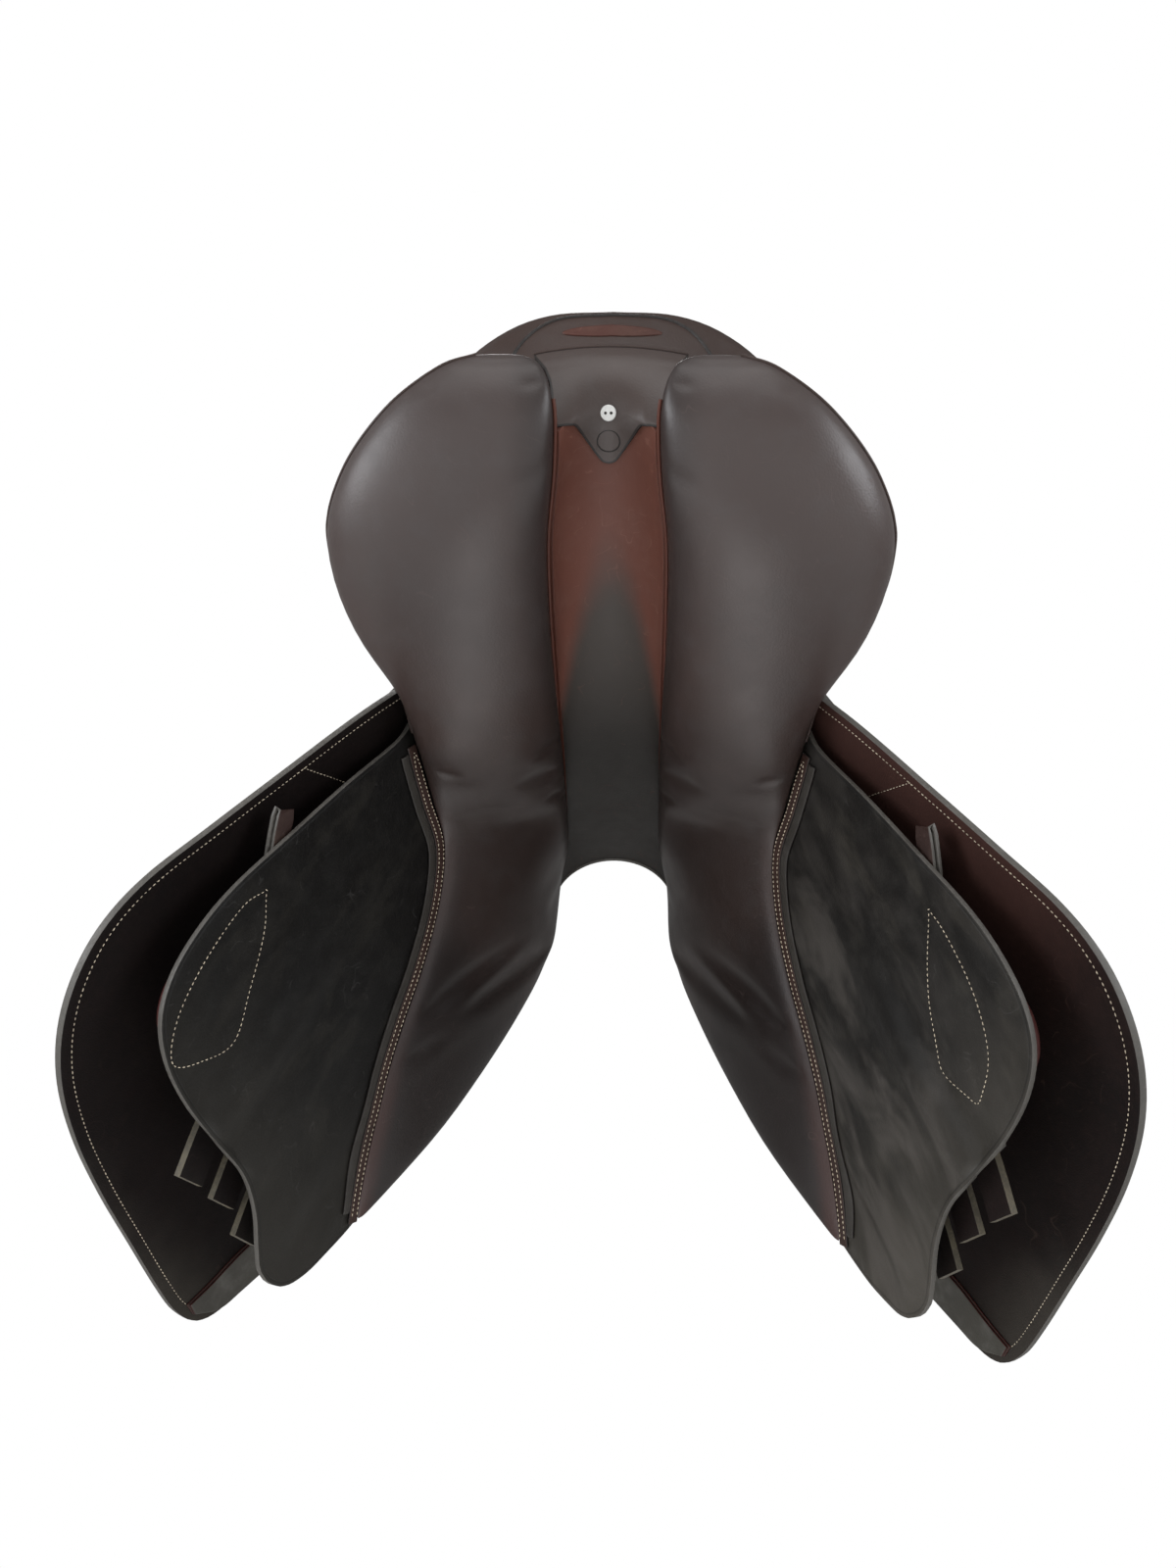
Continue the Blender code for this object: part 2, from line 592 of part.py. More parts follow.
def seat(mats):
    """Covered foam seat on a laminated cantle board, with a facing sewn behind it."""
    cover = SEAT_COVER_THICKNESS
    shell("seat_cover", seat_rings(0.0), seat_rings(-cover), mats["seat"])
    top = seat_rings(-cover - FOAM_CLEARANCE)[2:]
    inward = top[-1] - top
    inward[..., 2] = 0
    inward /= np.maximum(np.linalg.norm(inward, axis=2, keepdims=True), 1e-9)
    top[0] += inward[0] * 0.0028 - [0, 0, 0.0010]
    fade = np.linspace(1, 0, len(top))[:, None, None]
    base = top + inward * FOAM_INSET * fade - [0, 0, SEAT_FOAM_THICKNESS]
    shell("seat_foam", top, base, mats["foam"])
    columns = [i % top.shape[1] for i in range(-6, 7)]
    under = base[1:6][:, columns] - [0, 0, 5 * GAP]
    slab("cantle_board", under, under - [0, 0, CANTLE_BOARD_THICKNESS], mats["wood"])
    outer = seat_rings(FACING_THICKNESS / 2 + GAP)
    columns = [i % outer.shape[1] for i in range(-2, 3)]
    facing = outer[0:3][:, columns]
    thick_sheet("cantle_facing", facing, FACING_THICKNESS, mats["trim"])


def tree(mats):
    """Sprung tree: gullet plate, points, rails, springs and webbing."""
    roof = along(ROOF, ARCH_FRONT_X) + LINING_THICKNESS / 2 + GAP
    arc = spline(cm([(-5.7, -1.75), (-5.0, -1.15), (-3.6, -0.5), (-1.8, -0.1), (0, 0), (1.8, -0.1),
                     (3.6, -0.5), (5.0, -1.15), (5.7, -1.75)]), 17)
    normal = np.gradient(arc, axis=0)
    normal = np.stack([-normal[:, 1], normal[:, 0]], 1)
    normal /= np.linalg.norm(normal, axis=1, keepdims=True)
    outline = np.concatenate([arc, (arc + normal * ARCH_THICKNESS)[::-1]])
    rings = [np.column_stack([np.full(len(outline), x), outline[:, 0], outline[:, 1] + roof])
             for x in (ARCH_REAR_X, ARCH_FRONT_X)]
    loft("gullet_plate", rings, mats["steel"], sharp=50)
    middle = (ARCH_REAR_X + ARCH_FRONT_X) / 2
    point = spline(cm([(5.75, 6.55), (6.42, 6.05), (6.78, 5.1), (7.15, 3.8), (7.7, 2.2), (8.15, 0.5),
                       (8.75, -1.5), (9.45, -3.2)]), 11)
    path = np.column_stack([np.full(len(point), middle), point])
    slant = -0.31 * ease(-point[:, 1], -0.062, -0.047)
    across = np.column_stack([np.ones(len(point)), slant, np.zeros(len(point))])
    pair(bar("tree_point", path, across, (ARCH_FRONT_X - ARCH_REAR_X) * 0.85, POINT_THICKNESS,
             mats["wood"]))

    inset = offset_surface(flap_surface, -FLAP_THICKNESS / 2 - GAP)
    rail = []
    for x in np.linspace(ARCH_REAR_X - GAP * 2, FLAP_HINGE_REAR[0], 8):
        z = hinge_height(x) + 0.0012 - 0.0022 * ease(x, -0.03, 0.02)
        rail.append((x, inset(x, z + RAIL_THICKNESS / 2) - RAIL_WIDTH / 2 - RAIL_CLEARANCE, z))
    rail += [tuple(p) for p in cm([(-9.0, 11.8, 5.7), (-13.0, 11.4, 6.8)])]
    pair(bar("tree_rail", spline(rail, 14), (0, 1, 0), RAIL_WIDTH, RAIL_THICKNESS, mats["wood"]))
    spring = spline(cm([(14.3, 3.9, 6.75), (6.0, 5.3, 5.9), (-4.0, 7.0, 5.5), (-12.0, 7.8, 6.7),
                        (-16.5, 7.8, 7.0)]), 12)
    pair(bar("tree_spring", spring, (0, 1, 0), SPRING_WIDTH, SPRING_THICKNESS, mats["steel"]))
    web = spline(cm([(14.2, 1.7, 7.3), (6.0, 1.7, 6.6), (-4.0, 1.7, 5.8), (-10.0, 1.7, 6.4),
                     (-15.0, 1.7, 7.15)]), 10)
    pair(bar("seat_web", web, (0, 1, 0), WEB_WIDTH, WEB_THICKNESS, mats["web"]))
    rows = []
    for x in np.linspace(-0.018, 0.105, 6):
        top = hinge_height(x) - RAIL_THICKNESS / 2 - 0.0020
        z = np.linspace(BILLET_TOP_Z + GAP * 2, top, 4)
        rows.append(np.stack([np.full(4, x), strap_surface(x, z), z], 1))
    pair(thick_sheet("girth_web", rows, WEB_THICKNESS, mats["web"]))


def flaps(mats):
    """Sweat flap, outer flap with its notch for the stirrup bar, and skirt."""
    shares = np.concatenate([[0, 0.035, 0.07, 0.115], np.linspace(0.17, 1, 13)])
    sheet = side_grid(SWEAT_REAR, SWEAT_FRONT, sweat_surface, shares, 8)
    pair(thick_sheet("sweat_flap", sheet, SWEAT_FLAP_THICKNESS, mats["sweat"]))

    flap = thick_sheet("flap", side_grid(FLAP_REAR, FLAP_FRONT, flap_surface, 17, 8),
                       FLAP_THICKNESS, mats["flap"])
    notch = [np.array([(x, y, z) for y, z in ((0.0, 0.012), (0.20, 0.012), (0.20, 0.12), (0.0, 0.12))])
             for x in (BAR_REAR_X - 0.034, BAR_REAR_X + BAR_LENGTH + 0.016)]
    cutter = loft("notch_cutter", notch, mats["steel"], smooth=False)
    boolean(flap, cutter, "DIFFERENCE")
    apply_modifiers(flap, [cutter])
    pair(flap, FLAP_HINGE_REAR)

    rear = cm([(-4.2, 0.0), (-5.4, 2.4), (-5.2, -0.6), (-3.4, -3.2), (0.0, -5.0), (4.0, -5.9)])
    front = cm([(19.0, 0.0), (20.2, 4.6), (19.4, 1.6), (16.8, -1.8), (13.2, -4.4), (9.0, -5.8)])
    for line in (rear, front):
        line[0, 1] = hinge_height(line[0, 0]) + SKIRT_RISE
    shares = [0, 0.025, 0.06, 0.10, 0.16, 0.24, 0.36, 0.50, 0.66, 0.83, 1.0]
    pair(thick_sheet("skirt", side_grid(rear, front, skirt_surface, shares, 10), SKIRT_THICKNESS,
                     mats["flap"]), FLAP_HINGE_REAR)

    lip = seat_rings(0.0)[0]
    lip = lip[lip[:, 1] > 0.01]
    lip = lip[np.argsort(lip[:, 0])]
    lip = lip[lip[:, 0] > -0.10]
    x = np.linspace(-0.040, 0.186, 10)
    upper = np.stack([x, np.interp(x, lip[:, 0], lip[:, 1]) - 0.0010,
                      np.interp(x, lip[:, 0], lip[:, 2]) - SKIRT_THICKNESS * 0.4 - 0.0008], 1)
    lower = np.stack([x, hinge_distance(x) - 0.0045, hinge_height(x) + 0.0080], 1)
    middle = (upper + lower) / 2 + [0, 0.0008, 0.0012]
    pair(thick_sheet("skirt_band", [upper, middle, lower], SKIRT_THICKNESS * 0.8, mats["flap"]))


def skirt_surface(x, z):
    """Middle of the skirt, which bulges over the stirrup bar and lies on the flap below."""
    drop = hinge_height(x) - z
    clear = (FLAP_THICKNESS + SKIRT_THICKNESS) / 2 + 0.002
    turn = np.sqrt(np.clip((drop + SKIRT_RISE) / 0.009, 0, 1))
    over = np.sqrt(np.clip((drop + SKIRT_RISE / 2) / 0.0075, 0, 1)) * (1 - ease(drop, 0.020, 0.062))
    reach = ease(x, FLAP_HINGE_REAR[0] + 0.004, BAR_REAR_X - 0.035)
    reach = reach * (1 - ease(x, BAR_REAR_X + BAR_LENGTH + 0.006, FLAP_HINGE_FRONT[0]))
    return flap_surface(x, z) + clear * turn + (BAR_STANDOFF + SKIRT_ROOM) * over * reach


def blocks(mats):
    """Thigh and knee blocks on the sweat flap and the pad on the outer flap."""
    bed = offset_surface(sweat_surface, SWEAT_FLAP_THICKNESS / 2 + GAP)
    pair(pillow_on_side("thigh_block", cm([(-3.9, -14.2), (-5.4, -15.8), (-6.1, -18.4), (-5.6, -21.0),
                                           (-4.1, -23.2), (-2.0, -24.1)]),
                        cm([(-3.4, -14.2), (-1.8, -15.4), (-0.1, -17.8), (0.9, -20.6), (0.5, -23.0),
                            (-1.0, -24.1)]),
                        bed, BLOCK_DEPTH, mats["block"]))
    pair(pillow_on_side("knee_block", cm([(17.6, -3.8), (16.1, -5.6), (15.1, -9.4), (15.3, -13.4),
                                          (16.5, -16.4), (17.4, -17.2)]),
                        cm([(18.8, -3.6), (20.3, -5.4), (20.9, -9.4), (20.3, -13.4), (19.0, -16.4),
                            (18.2, -17.2)]),
                        bed, KNEE_BLOCK_DEPTH, mats["block"]))
    on_flap = offset_surface(flap_surface, FLAP_THICKNESS / 2 + GAP)
    pair(pillow_on_side("knee_pad", cm([(20.4, -1.5), (18.0, -3.2), (16.6, -7.0), (16.2, -11.0),
                                        (15.9, -15.0), (16.1, -19.0), (17.6, -21.8)]),
                        cm([(21.6, -1.3), (24.3, -3.2), (25.9, -7.0), (26.4, -11.0), (25.4, -15.6),
                            (22.8, -19.8), (19.2, -22.0)]),
                        on_flap, KNEE_PAD_DEPTH, mats["pad"]), FLAP_HINGE_REAR)


def keepers(mats):
    """Folded leather tab sewn to the sweat flap near its rear edge."""
    bed = offset_surface(sweat_surface, SWEAT_FLAP_THICKNESS / 2 + 2 * GAP + KEEPER_THICKNESS / 2)
    lift = KEEPER_THICKNESS * 1.5
    out = offset_surface(sweat_surface, SWEAT_FLAP_THICKNESS / 2 + GAP + KEEPER_THICKNESS / 2 + lift)
    line = cm([(-4.2, -13.2), (-4.9, -12.3), (-5.7, -11.1), (-6.4, -9.9)])
    spread = np.linspace(0, KEEPER_SPREAD, len(line))
    down = [(x, bed(x, z) + s, z) for (x, z), s in zip(line, spread)]
    up = [(x, out(x, z) + s, z) for (x, z), s in zip(line[::-1], spread[::-1])]
    turn_x, turn_z = line[-1]
    turn = [(turn_x - 0.0012, (down[-1][1] + up[0][1]) / 2, turn_z + 0.0020)]
    path = spline(down + turn + up, 18)
    pair(bar("flap_keeper", path, (0.85, -0.50, 0.53), KEEPER_WIDTH, KEEPER_THICKNESS, mats["trim"]))


def girth_straps(mats):
    """Three straps on each side, each with its row of buckle holes."""
    tops = (0.002, 0.047, 0.091)
    tips = ((0.054, -0.2860), (0.092, -0.2850), (0.127, -0.2950))
    pivot = (tops[0], strap_surface(tops[0], BILLET_TOP_Z), BILLET_TOP_Z)
    for name, top, tip in zip(("rear", "middle", "front"), tops, tips):
        z = np.linspace(BILLET_TOP_Z - GAP, tip[1], 15)
        x = top + (tip[0] - top) * (BILLET_TOP_Z - z) / (BILLET_TOP_Z - tip[1])
        path = np.column_stack([x, strap_surface(x, z), z])
        lean = unit([1, strap_surface(x[7] + 0.01, z[7]) * 100 - strap_surface(x[7], z[7]) * 100, 0.0])
        strap = bar("billet_" + name, path, lean, BILLET_WIDTH, BILLET_THICKNESS, mats["billet"])
        run = np.concatenate([[0], np.cumsum(np.linalg.norm(np.diff(path, axis=0), axis=1))])
        punches = bmesh.new()
        for k in range(BILLET_HOLES):
            at = run[-1] - 0.030 - k * BILLET_HOLE_PITCH
            centre = np.array([np.interp(at, run, path[:, j]) for j in range(3)])
            ahead = np.array([np.interp(at - 0.004, run, path[:, j]) for j in range(3)])
            along_strap = unit(centre - ahead)
            side = unit(lean - along_strap * lean.dot(along_strap))
            through = np.cross(along_strap, side)
            rings = [tube_ring(centre + through * d, along_strap, side, BILLET_HOLE_RADIUS, 6)
                     for d in (-BILLET_THICKNESS, BILLET_THICKNESS)]
            verts = [punches.verts.new(Vector(p)) for ring in rings for p in ring]
            for face in grid_faces(2, 6, wrap=True) + [tuple(reversed(range(6))), tuple(range(6, 12))]:
                punches.faces.new([verts[i] for i in face])
        cutter = add_object("punch_" + name, punches, mats["steel"], smooth=False)
        boolean(strap, cutter, "DIFFERENCE")
        apply_modifiers(strap, [cutter])
        pair(strap, pivot)

    outboard = offset_surface(strap_surface, BILLET_THICKNESS / 2 + GUARD_CLEARANCE + GUARD_THICKNESS / 2)
    rear = cm([(1.7, -19.0), (1.9, -22.4), (3.4, -25.2)])
    front = cm([(13.6, -19.2), (14.8, -22.4), (13.4, -26.0)])
    pair(thick_sheet("girth_guard", side_grid(rear, front, outboard, 5, 12), GUARD_THICKNESS,
                     mats["flap"]), pivot)
    inboard = offset_surface(strap_surface, -(BILLET_THICKNESS / 2 + 0.0028 + 0.001))
    touch = offset_surface(strap_surface, BILLET_THICKNESS / 2 + GUARD_CLEARANCE - GAP - 0.0021)
    z = -0.218
    path = [(0.0215, touch(0.0215, z), z), (0.0235, inboard(0.0235, z), z)]
    path += [(x, inboard(x, z), z) for x in np.linspace(0.035, 0.128, 7)]
    path += [(0.1395, inboard(0.1395, z), z), (0.1415, touch(0.1415, z), z)]
    pair(bar("guard_loop", path, (0, -0.30, 1), 0.014, 0.0020, mats["flap"]), pivot)


def stirrup_bars(mats):
    """Forged bar on a riveted plate, open to the rear, with a catch on a pin."""
    plate_line = offset_surface(flap_surface, -FLAP_THICKNESS / 2 + BAR_PLATE_THICKNESS / 2)
    x0, x1 = BAR_REAR_X, BAR_REAR_X + BAR_LENGTH
    z = 0.042
    line = np.array([(x, plate_line(x, z), z) for x in np.linspace(x0, x1, 6)])
    forward = unit(line[-1] - line[0])
    slope = unit([0, (plate_line(0.09, z + 0.01) - plate_line(0.09, z)) * 100, 1.0])
    plate = bar("stirrup_bar", line, slope, BAR_PLATE_HEIGHT, BAR_PLATE_THICKNESS, mats["steel"], False)
    out = unit(np.cross(forward, slope))
    out = out if out[1] > 0 else -out
    low = line - slope * 0.004
    reach = BAR_PLATE_THICKNESS / 2 + BAR_STANDOFF + BAR_THICKNESS / 2
    corner = low[-1] - forward * BAR_THICKNESS / 2
    hook = [corner + out * d for d in (0.001, reach * 0.55)]
    hook += [corner + out * reach * 0.93 - forward * 0.0025]
    hook += [low[i] + out * reach for i in (4, 3, 2, 1, 0)]
    hook = np.array(hook)
    arm = bar("bar_arm", spline(hook, 14), slope, BAR_WIDTH, BAR_THICKNESS, mats["steel"])
    rivets = bmesh.new()
    for i in (1, 3, 4):
        centre = line[i] + slope * 0.0085 + out * BAR_PLATE_THICKNESS / 2
        side = np.cross(out, slope)
        rings = [tube_ring(centre + out * d, side, slope, r, 8)
                 for d, r in ((-0.001, 0.0036), (0.0012, 0.0034), (0.0019, 0.0016))]
        verts = [rivets.verts.new(Vector(p)) for ring in rings for p in ring]
        for face in grid_faces(3, 8, wrap=True) + [tuple(reversed(range(8))), tuple(range(16, 24))]:
            rivets.faces.new([verts[i] for i in face])
    heads = add_object("rivet_heads", rivets, mats["steel"])
    boolean(plate, arm, "UNION")
    boolean(plate, heads, "UNION")
    apply_modifiers(plate, [arm, heads])
    pair(plate)

    pin_at = low[0] - forward * 0.0045
    pin = cylinder("catch_pin", pin_at - out * BAR_PLATE_THICKNESS / 2, pin_at + out * (reach + 0.002),
                   CATCH_PIN_RADIUS, mats["steel"], 10)
    pair(pin)
    lever = []
    width = (BAR_PLATE_THICKNESS / 2 + GAP * 2, reach + BAR_THICKNESS / 2 - GAP * 2)
    outline = [(0.0036, 0.0), (0.0025, 0.0026), (0.0, 0.0036), (-CATCH_LENGTH * 0.6, 0.0030),
               (-CATCH_LENGTH, 0.0016), (-CATCH_LENGTH, -0.0012), (-CATCH_LENGTH * 0.6, -0.0030),
               (0.0, -0.0036), (0.0025, -0.0026)]
    for w in width:
        lever.append([pin_at + forward * a + slope * b + out * w for a, b in outline])
    catch = loft("bar_catch", lever, mats["steel"], sharp=40)
    bore = cylinder("bore_cutter", pin_at - out * 0.01, pin_at + out * 0.04,
                    CATCH_PIN_RADIUS + 0.0003, mats["steel"], 10)
    boolean(catch, bore, "DIFFERENCE")
    apply_modifiers(catch, [bore])
    pair(catch, pin_at)


def dee_rings(mats):
    """Dee ring hung in a folded leather tab below the pommel."""
    x, y, top = 0.2138, 0.049, 0.080
    half = DEE_WIDTH / 2
    arc = [(math.cos(a) * half, -DEE_HEIGHT * 0.35 + math.sin(a) * DEE_HEIGHT * 0.65)
           for a in np.linspace(0, -math.pi, 9)]
    outline = [(half, 0.0), (half, -DEE_HEIGHT * 0.18)] + arc + [(-half, -DEE_HEIGHT * 0.18), (-half, 0.0)]
    outline += [(-half / 3, 0.0), (half / 3, 0.0)]
    centre = np.array([(x, y + a, top + b) for a, b in outline])
    rings = []
    for i, p in enumerate(centre):
        tangent = unit(centre[(i + 1) % len(centre)] - centre[i - 1])
        u = np.array([1.0, 0, 0])
        rings.append(tube_ring(p, u, np.cross(tangent, u), DEE_WIRE, 6))
    rings = np.array(rings)
    count = len(rings)
    faces = [tuple((r * 6 + c) % (count * 6) for r, c in ((i, j), (i, (j + 1) % 6),
             (i + 1, (j + 1) % 6), (i + 1, j))) for i in range(count) for j in range(6)]
    pair(add_object("dee_ring", from_points(rings.reshape(-1, 3), faces), mats["nickel"]), (x, y, top))
    r = DEE_WIRE + 0.0016
    lip = 0.0950
    path = [(x - 0.0062, lip), (x - 0.0046, top + 0.010)]
    path += [(x + math.sin(a) * r, top - math.cos(a) * r) for a in np.radians([-100, -50, 0, 50, 100])]
    path += [(x + 0.0030, top + 0.009), (x - 0.0020, lip + 0.002)]
    path = spline([(a, y, b) for a, b in path], 16)
    pair(bar("dee_chape", path, (0, 1, 0), DEE_WIDTH * 0.5, 0.0018, mats["trim"]))


def main():
    for obj in list(bpy.data.objects):
        bpy.data.objects.remove(obj)
    mats = {
        "panel": material("panel_leather", (0.060, 0.035, 0.030), 0.42),
        "seat": material("seat_leather", (0.055, 0.032, 0.027), 0.45),
        "sweat": material("sweat_leather", (0.022, 0.020, 0.018), 0.40),
        "flap": material("flap_leather", (0.030, 0.015, 0.012), 0.50),
        "pad": material("knee_pad_leather", (0.045, 0.024, 0.019), 0.55),
        "lining": material("lining_leather", (0.140, 0.052, 0.036), 0.45),
        "welt": material("welt_leather", (0.170, 0.055, 0.035), 0.50),
        "trim": material("trim_leather", (0.070, 0.045, 0.038), 0.48),
        "block": material("block_leather", (0.120, 0.030, 0.026), 0.60),
        "billet": material("strap_leather", (0.060, 0.045, 0.030), 0.60),
        "button": material("white_button", (0.80, 0.80, 0.78), 0.30),
        "foam": material("seat_foam", (0.70, 0.62, 0.40), 0.90),
        "wood": material("tree_wood", (0.42, 0.26, 0.13), 0.70),
        "web": material("linen_web", (0.55, 0.48, 0.36), 0.90),
        "steel": material("tree_steel", (0.50, 0.50, 0.50), 0.35, 1.0),
        "nickel": material("nickel_plate", (0.72, 0.70, 0.66), 0.22, 1.0),
    }
    panels(mats)
    channel(mats)
    seat(mats)
    tree(mats)
    flaps(mats)
    blocks(mats)
    keepers(mats)
    girth_straps(mats)
    stirrup_bars(mats)
    dee_rings(mats)


main()
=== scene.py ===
"""Close-contact jumping saddle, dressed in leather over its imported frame.

+X points to the horse's head, +Y to the horse's left and +Z up through the seat.
Pieces of a side are shaped on the horse's left and mirrored for the right.
Lengths are in metres, except where a name ends in mm or a point list goes through cm().
"""
import json
import logging
import math
from dataclasses import dataclass
from enum import Enum
from typing import Any, Callable, ClassVar, Sequence

import bmesh
import bpy
import numpy as np
from mathutils import Matrix, Vector
from mathutils.kdtree import KDTree

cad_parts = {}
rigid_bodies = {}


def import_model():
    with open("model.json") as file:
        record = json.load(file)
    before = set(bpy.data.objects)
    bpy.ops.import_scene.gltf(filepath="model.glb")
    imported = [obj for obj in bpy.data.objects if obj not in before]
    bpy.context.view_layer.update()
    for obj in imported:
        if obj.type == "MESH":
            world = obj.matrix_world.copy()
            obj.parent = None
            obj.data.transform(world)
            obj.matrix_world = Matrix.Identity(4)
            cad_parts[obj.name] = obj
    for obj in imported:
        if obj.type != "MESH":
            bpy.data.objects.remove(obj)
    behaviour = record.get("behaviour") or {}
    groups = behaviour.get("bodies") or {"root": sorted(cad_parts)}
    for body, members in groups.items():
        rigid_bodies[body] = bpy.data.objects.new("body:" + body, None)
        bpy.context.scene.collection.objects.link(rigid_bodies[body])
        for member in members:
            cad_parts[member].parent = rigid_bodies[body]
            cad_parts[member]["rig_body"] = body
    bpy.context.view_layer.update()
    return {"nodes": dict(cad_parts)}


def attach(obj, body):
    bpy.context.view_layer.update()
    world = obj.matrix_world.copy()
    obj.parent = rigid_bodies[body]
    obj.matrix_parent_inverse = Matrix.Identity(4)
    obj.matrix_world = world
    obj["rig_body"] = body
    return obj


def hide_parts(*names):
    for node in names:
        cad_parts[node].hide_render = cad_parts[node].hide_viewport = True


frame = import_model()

LOG = logging.getLogger("saddle")

Piece = bpy.types.Object
Finish = bpy.types.Material
Surface = Callable[[np.ndarray, np.ndarray], np.ndarray]
Triple = tuple[float, float, float]
Colour = Triple
Faces = list[tuple[int, ...]]
Outline = tuple[tuple[float, ...], ...]
Edges = tuple[np.ndarray, np.ndarray]
Names = tuple[str, ...]

CM = 0.01
MM_PER_M = 1000
TURN = 2 * math.pi
SLOPE_STEP = 1e-4  # reach of the differences that give a surface's slope
TINY = 1e-9  # keeps a division clear of nought
THREAD_LIFT = 0.0002  # height of a row of stitches over its leather
SKIRT_RISE = 0.0042  # how far the skirt's top edge stands above the flap's fold line
HINGE_REAR = (-0.050, 0.044)  # (x, z) ends of that fold line
HINGE_FRONT = (0.195, 0.066)
NODE_SHARP = 45.0  # degrees from which an edge of a CAD node parts two faces
NODE_FLAT = 1.5  # degrees below which the facets of a CAD node are merged
ACROSS = np.array([0.0, 1.0, 0.0])


class Side(Enum):
    """Which side of the horse a piece is on."""

    LEFT = 1
    RIGHT = -1

    @property
    def tag(self) -> str:
        """Ending of the names on this side."""
        return "_left" if self is Side.LEFT else "_right"


class Shell(Enum):
    """Material places of a sheet: the face with the grain, the flesh face and the cut edge."""

    GRAIN = 0
    FLESH = 1
    EDGE = 2


# Curves and surfaces

def cm(points: Sequence[Sequence[float]]) -> np.ndarray:
    """Centimetre points as a metre array."""
    return np.array(points, float) * CM


def spline(points: np.ndarray, count: int) -> np.ndarray:
    """Catmull-Rom curve through the points at equal steps.

    Args:
        points: Points the curve goes through, one a row.
        count: Number of points returned.

    Returns:
        The points of the curve, one a row.
    """
    p = np.asarray(points, float)
    ends = np.vstack([2 * p[0] - p[1], p, 2 * p[-1] - p[-2]])
    dense = []
    for i in range(len(p) - 1):
        a, b, c, d = ends[i:i + 4]
        for t in np.linspace(0, 1, 24, endpoint=False):
            dense.append(0.5 * (2 * b + (c - a) * t + (2 * a - 5 * b + 4 * c - d) * t * t
                                + (3 * b - a - 3 * c + d) * t ** 3))
    rows = np.array(dense + [p[-1]])
    run = np.concatenate([[0], np.cumsum(np.linalg.norm(np.diff(rows, axis=0), axis=1))])
    stops = np.linspace(0, run[-1], count)
    return np.stack([np.interp(stops, run, rows[:, k]) for k in range(rows.shape[1])], 1)


def along(points: np.ndarray, x: Any) -> Any:
    """Smooth value read from (x, value) points at x."""
    curve = spline(points, 160)
    return np.interp(x, curve[:, 0], curve[:, 1])


def unit(v: Any) -> np.ndarray:
    """The vector at length one."""
    v = np.asarray(v, float)
    return v / np.linalg.norm(v)


def lengths(rows: np.ndarray) -> np.ndarray:
    """Length of each vector of an array, kept in its own axis."""
    return np.linalg.norm(rows, axis=-1, keepdims=True)


def steps_of(line: np.ndarray) -> np.ndarray:
    """Unit direction of a line at each of its points."""
    step = np.gradient(line, axis=0)
    return step / lengths(step)


def ease(x: Any, start: float, end: float) -> Any:
    """Smooth step from nought at start to one at end."""
    t = np.clip((x - start) / (end - start), 0, 1)
    return t * t * (3 - 2 * t)


def rounded_off(drop: Any, lower: Any, kept: float, lost: float, fade: float) -> Any:
    """The lower form below a fold; above it the slope fades from kept + lost to kept."""
    upper = kept * drop + lost * fade * (np.exp(np.minimum(drop, 0) / fade) - 1)
    return np.where(drop > 0, lower, upper)


def sweat_surface(x: Any, z: Any) -> Any:
    """Middle of the sweat flap, which follows the horse's side.

    Args:
        x: Places along the horse.
        z: Heights.

    Returns:
        Distance from the centre plane.
    """
    ahead = x + 0.039
    drop = -z - 0.018
    lower = 0.44 * drop - 0.15 * ahead * drop - 0.6 * np.maximum(drop - 0.182, 0) ** 2
    return 0.141 - 0.31 * ahead + rounded_off(drop, lower, 0.05, 0.39, 0.024)


def flap_surface(x: Any, z: Any) -> Any:
    """Middle of the outer flap, which curls in at the front.

    Args:
        x: Places along the horse.
        z: Heights.

    Returns:
        Distance from the centre plane.
    """
    ahead = x + 0.063
    drop = -z
    lower = 0.69 * drop - 0.48 * drop * drop
    return 0.15 - 0.15 * ahead - 0.30 * ahead * ahead + rounded_off(drop, lower, 0.22, 0.45, 0.03)


def hinge_height(x: Any) -> Any:
    """Height of the flap's fold line."""
    (rear, low), (front, high) = HINGE_REAR, HINGE_FRONT
    return low + (x - rear) / (front - rear) * (high - low)


def skirt_surface(x: Any, z: Any) -> Any:
    """Middle of the skirt, which bulges over the stirrup bar and lies on the flap below.

    Args:
        x: Places along the horse.
        z: Heights.

    Returns:
        Distance from the centre plane.
    """
    drop = hinge_height(x) - z
    turn = np.sqrt(np.clip((drop + SKIRT_RISE) / 0.009, 0, 1))
    over = np.sqrt(np.clip((drop + SKIRT_RISE / 2) / 0.0075, 0, 1)) * (1 - ease(drop, 0.020, 0.062))
    reach = ease(x, -0.046, 0.017) * (1 - ease(x, 0.144, 0.195))
    return flap_surface(x, z) + 0.006 * turn + 0.027 * over * reach


def slopes(surface: Surface, x: Any, z: Any) -> tuple[Any, Any]:
    """How fast a side surface leaves the centre plane along x and along z.

    Args:
        surface: The side surface.
        x: Places along the horse.
        z: Heights.

    Returns:
        The slope along x and the slope along z.
    """
    h = SLOPE_STEP
    return ((surface(x + h, z) - surface(x - h, z)) / (2 * h),
            (surface(x, z + h) - surface(x, z - h)) / (2 * h))


def shifted(surface: Surface, distance: float) -> Surface:
    """The surface moved along its own outward normal.

    Args:
        surface: Distance from the centre plane over x and z.
        distance: How far to move outwards.

    Returns:
        The moved surface.
    """
    def moved(x: Any, z: Any) -> Any:
        """Distance from the centre plane of the moved surface."""
        dx, dz = slopes(surface, x, z)
        return surface(x, z) + distance * np.sqrt(1 + dx * dx + dz * dz)
    return moved


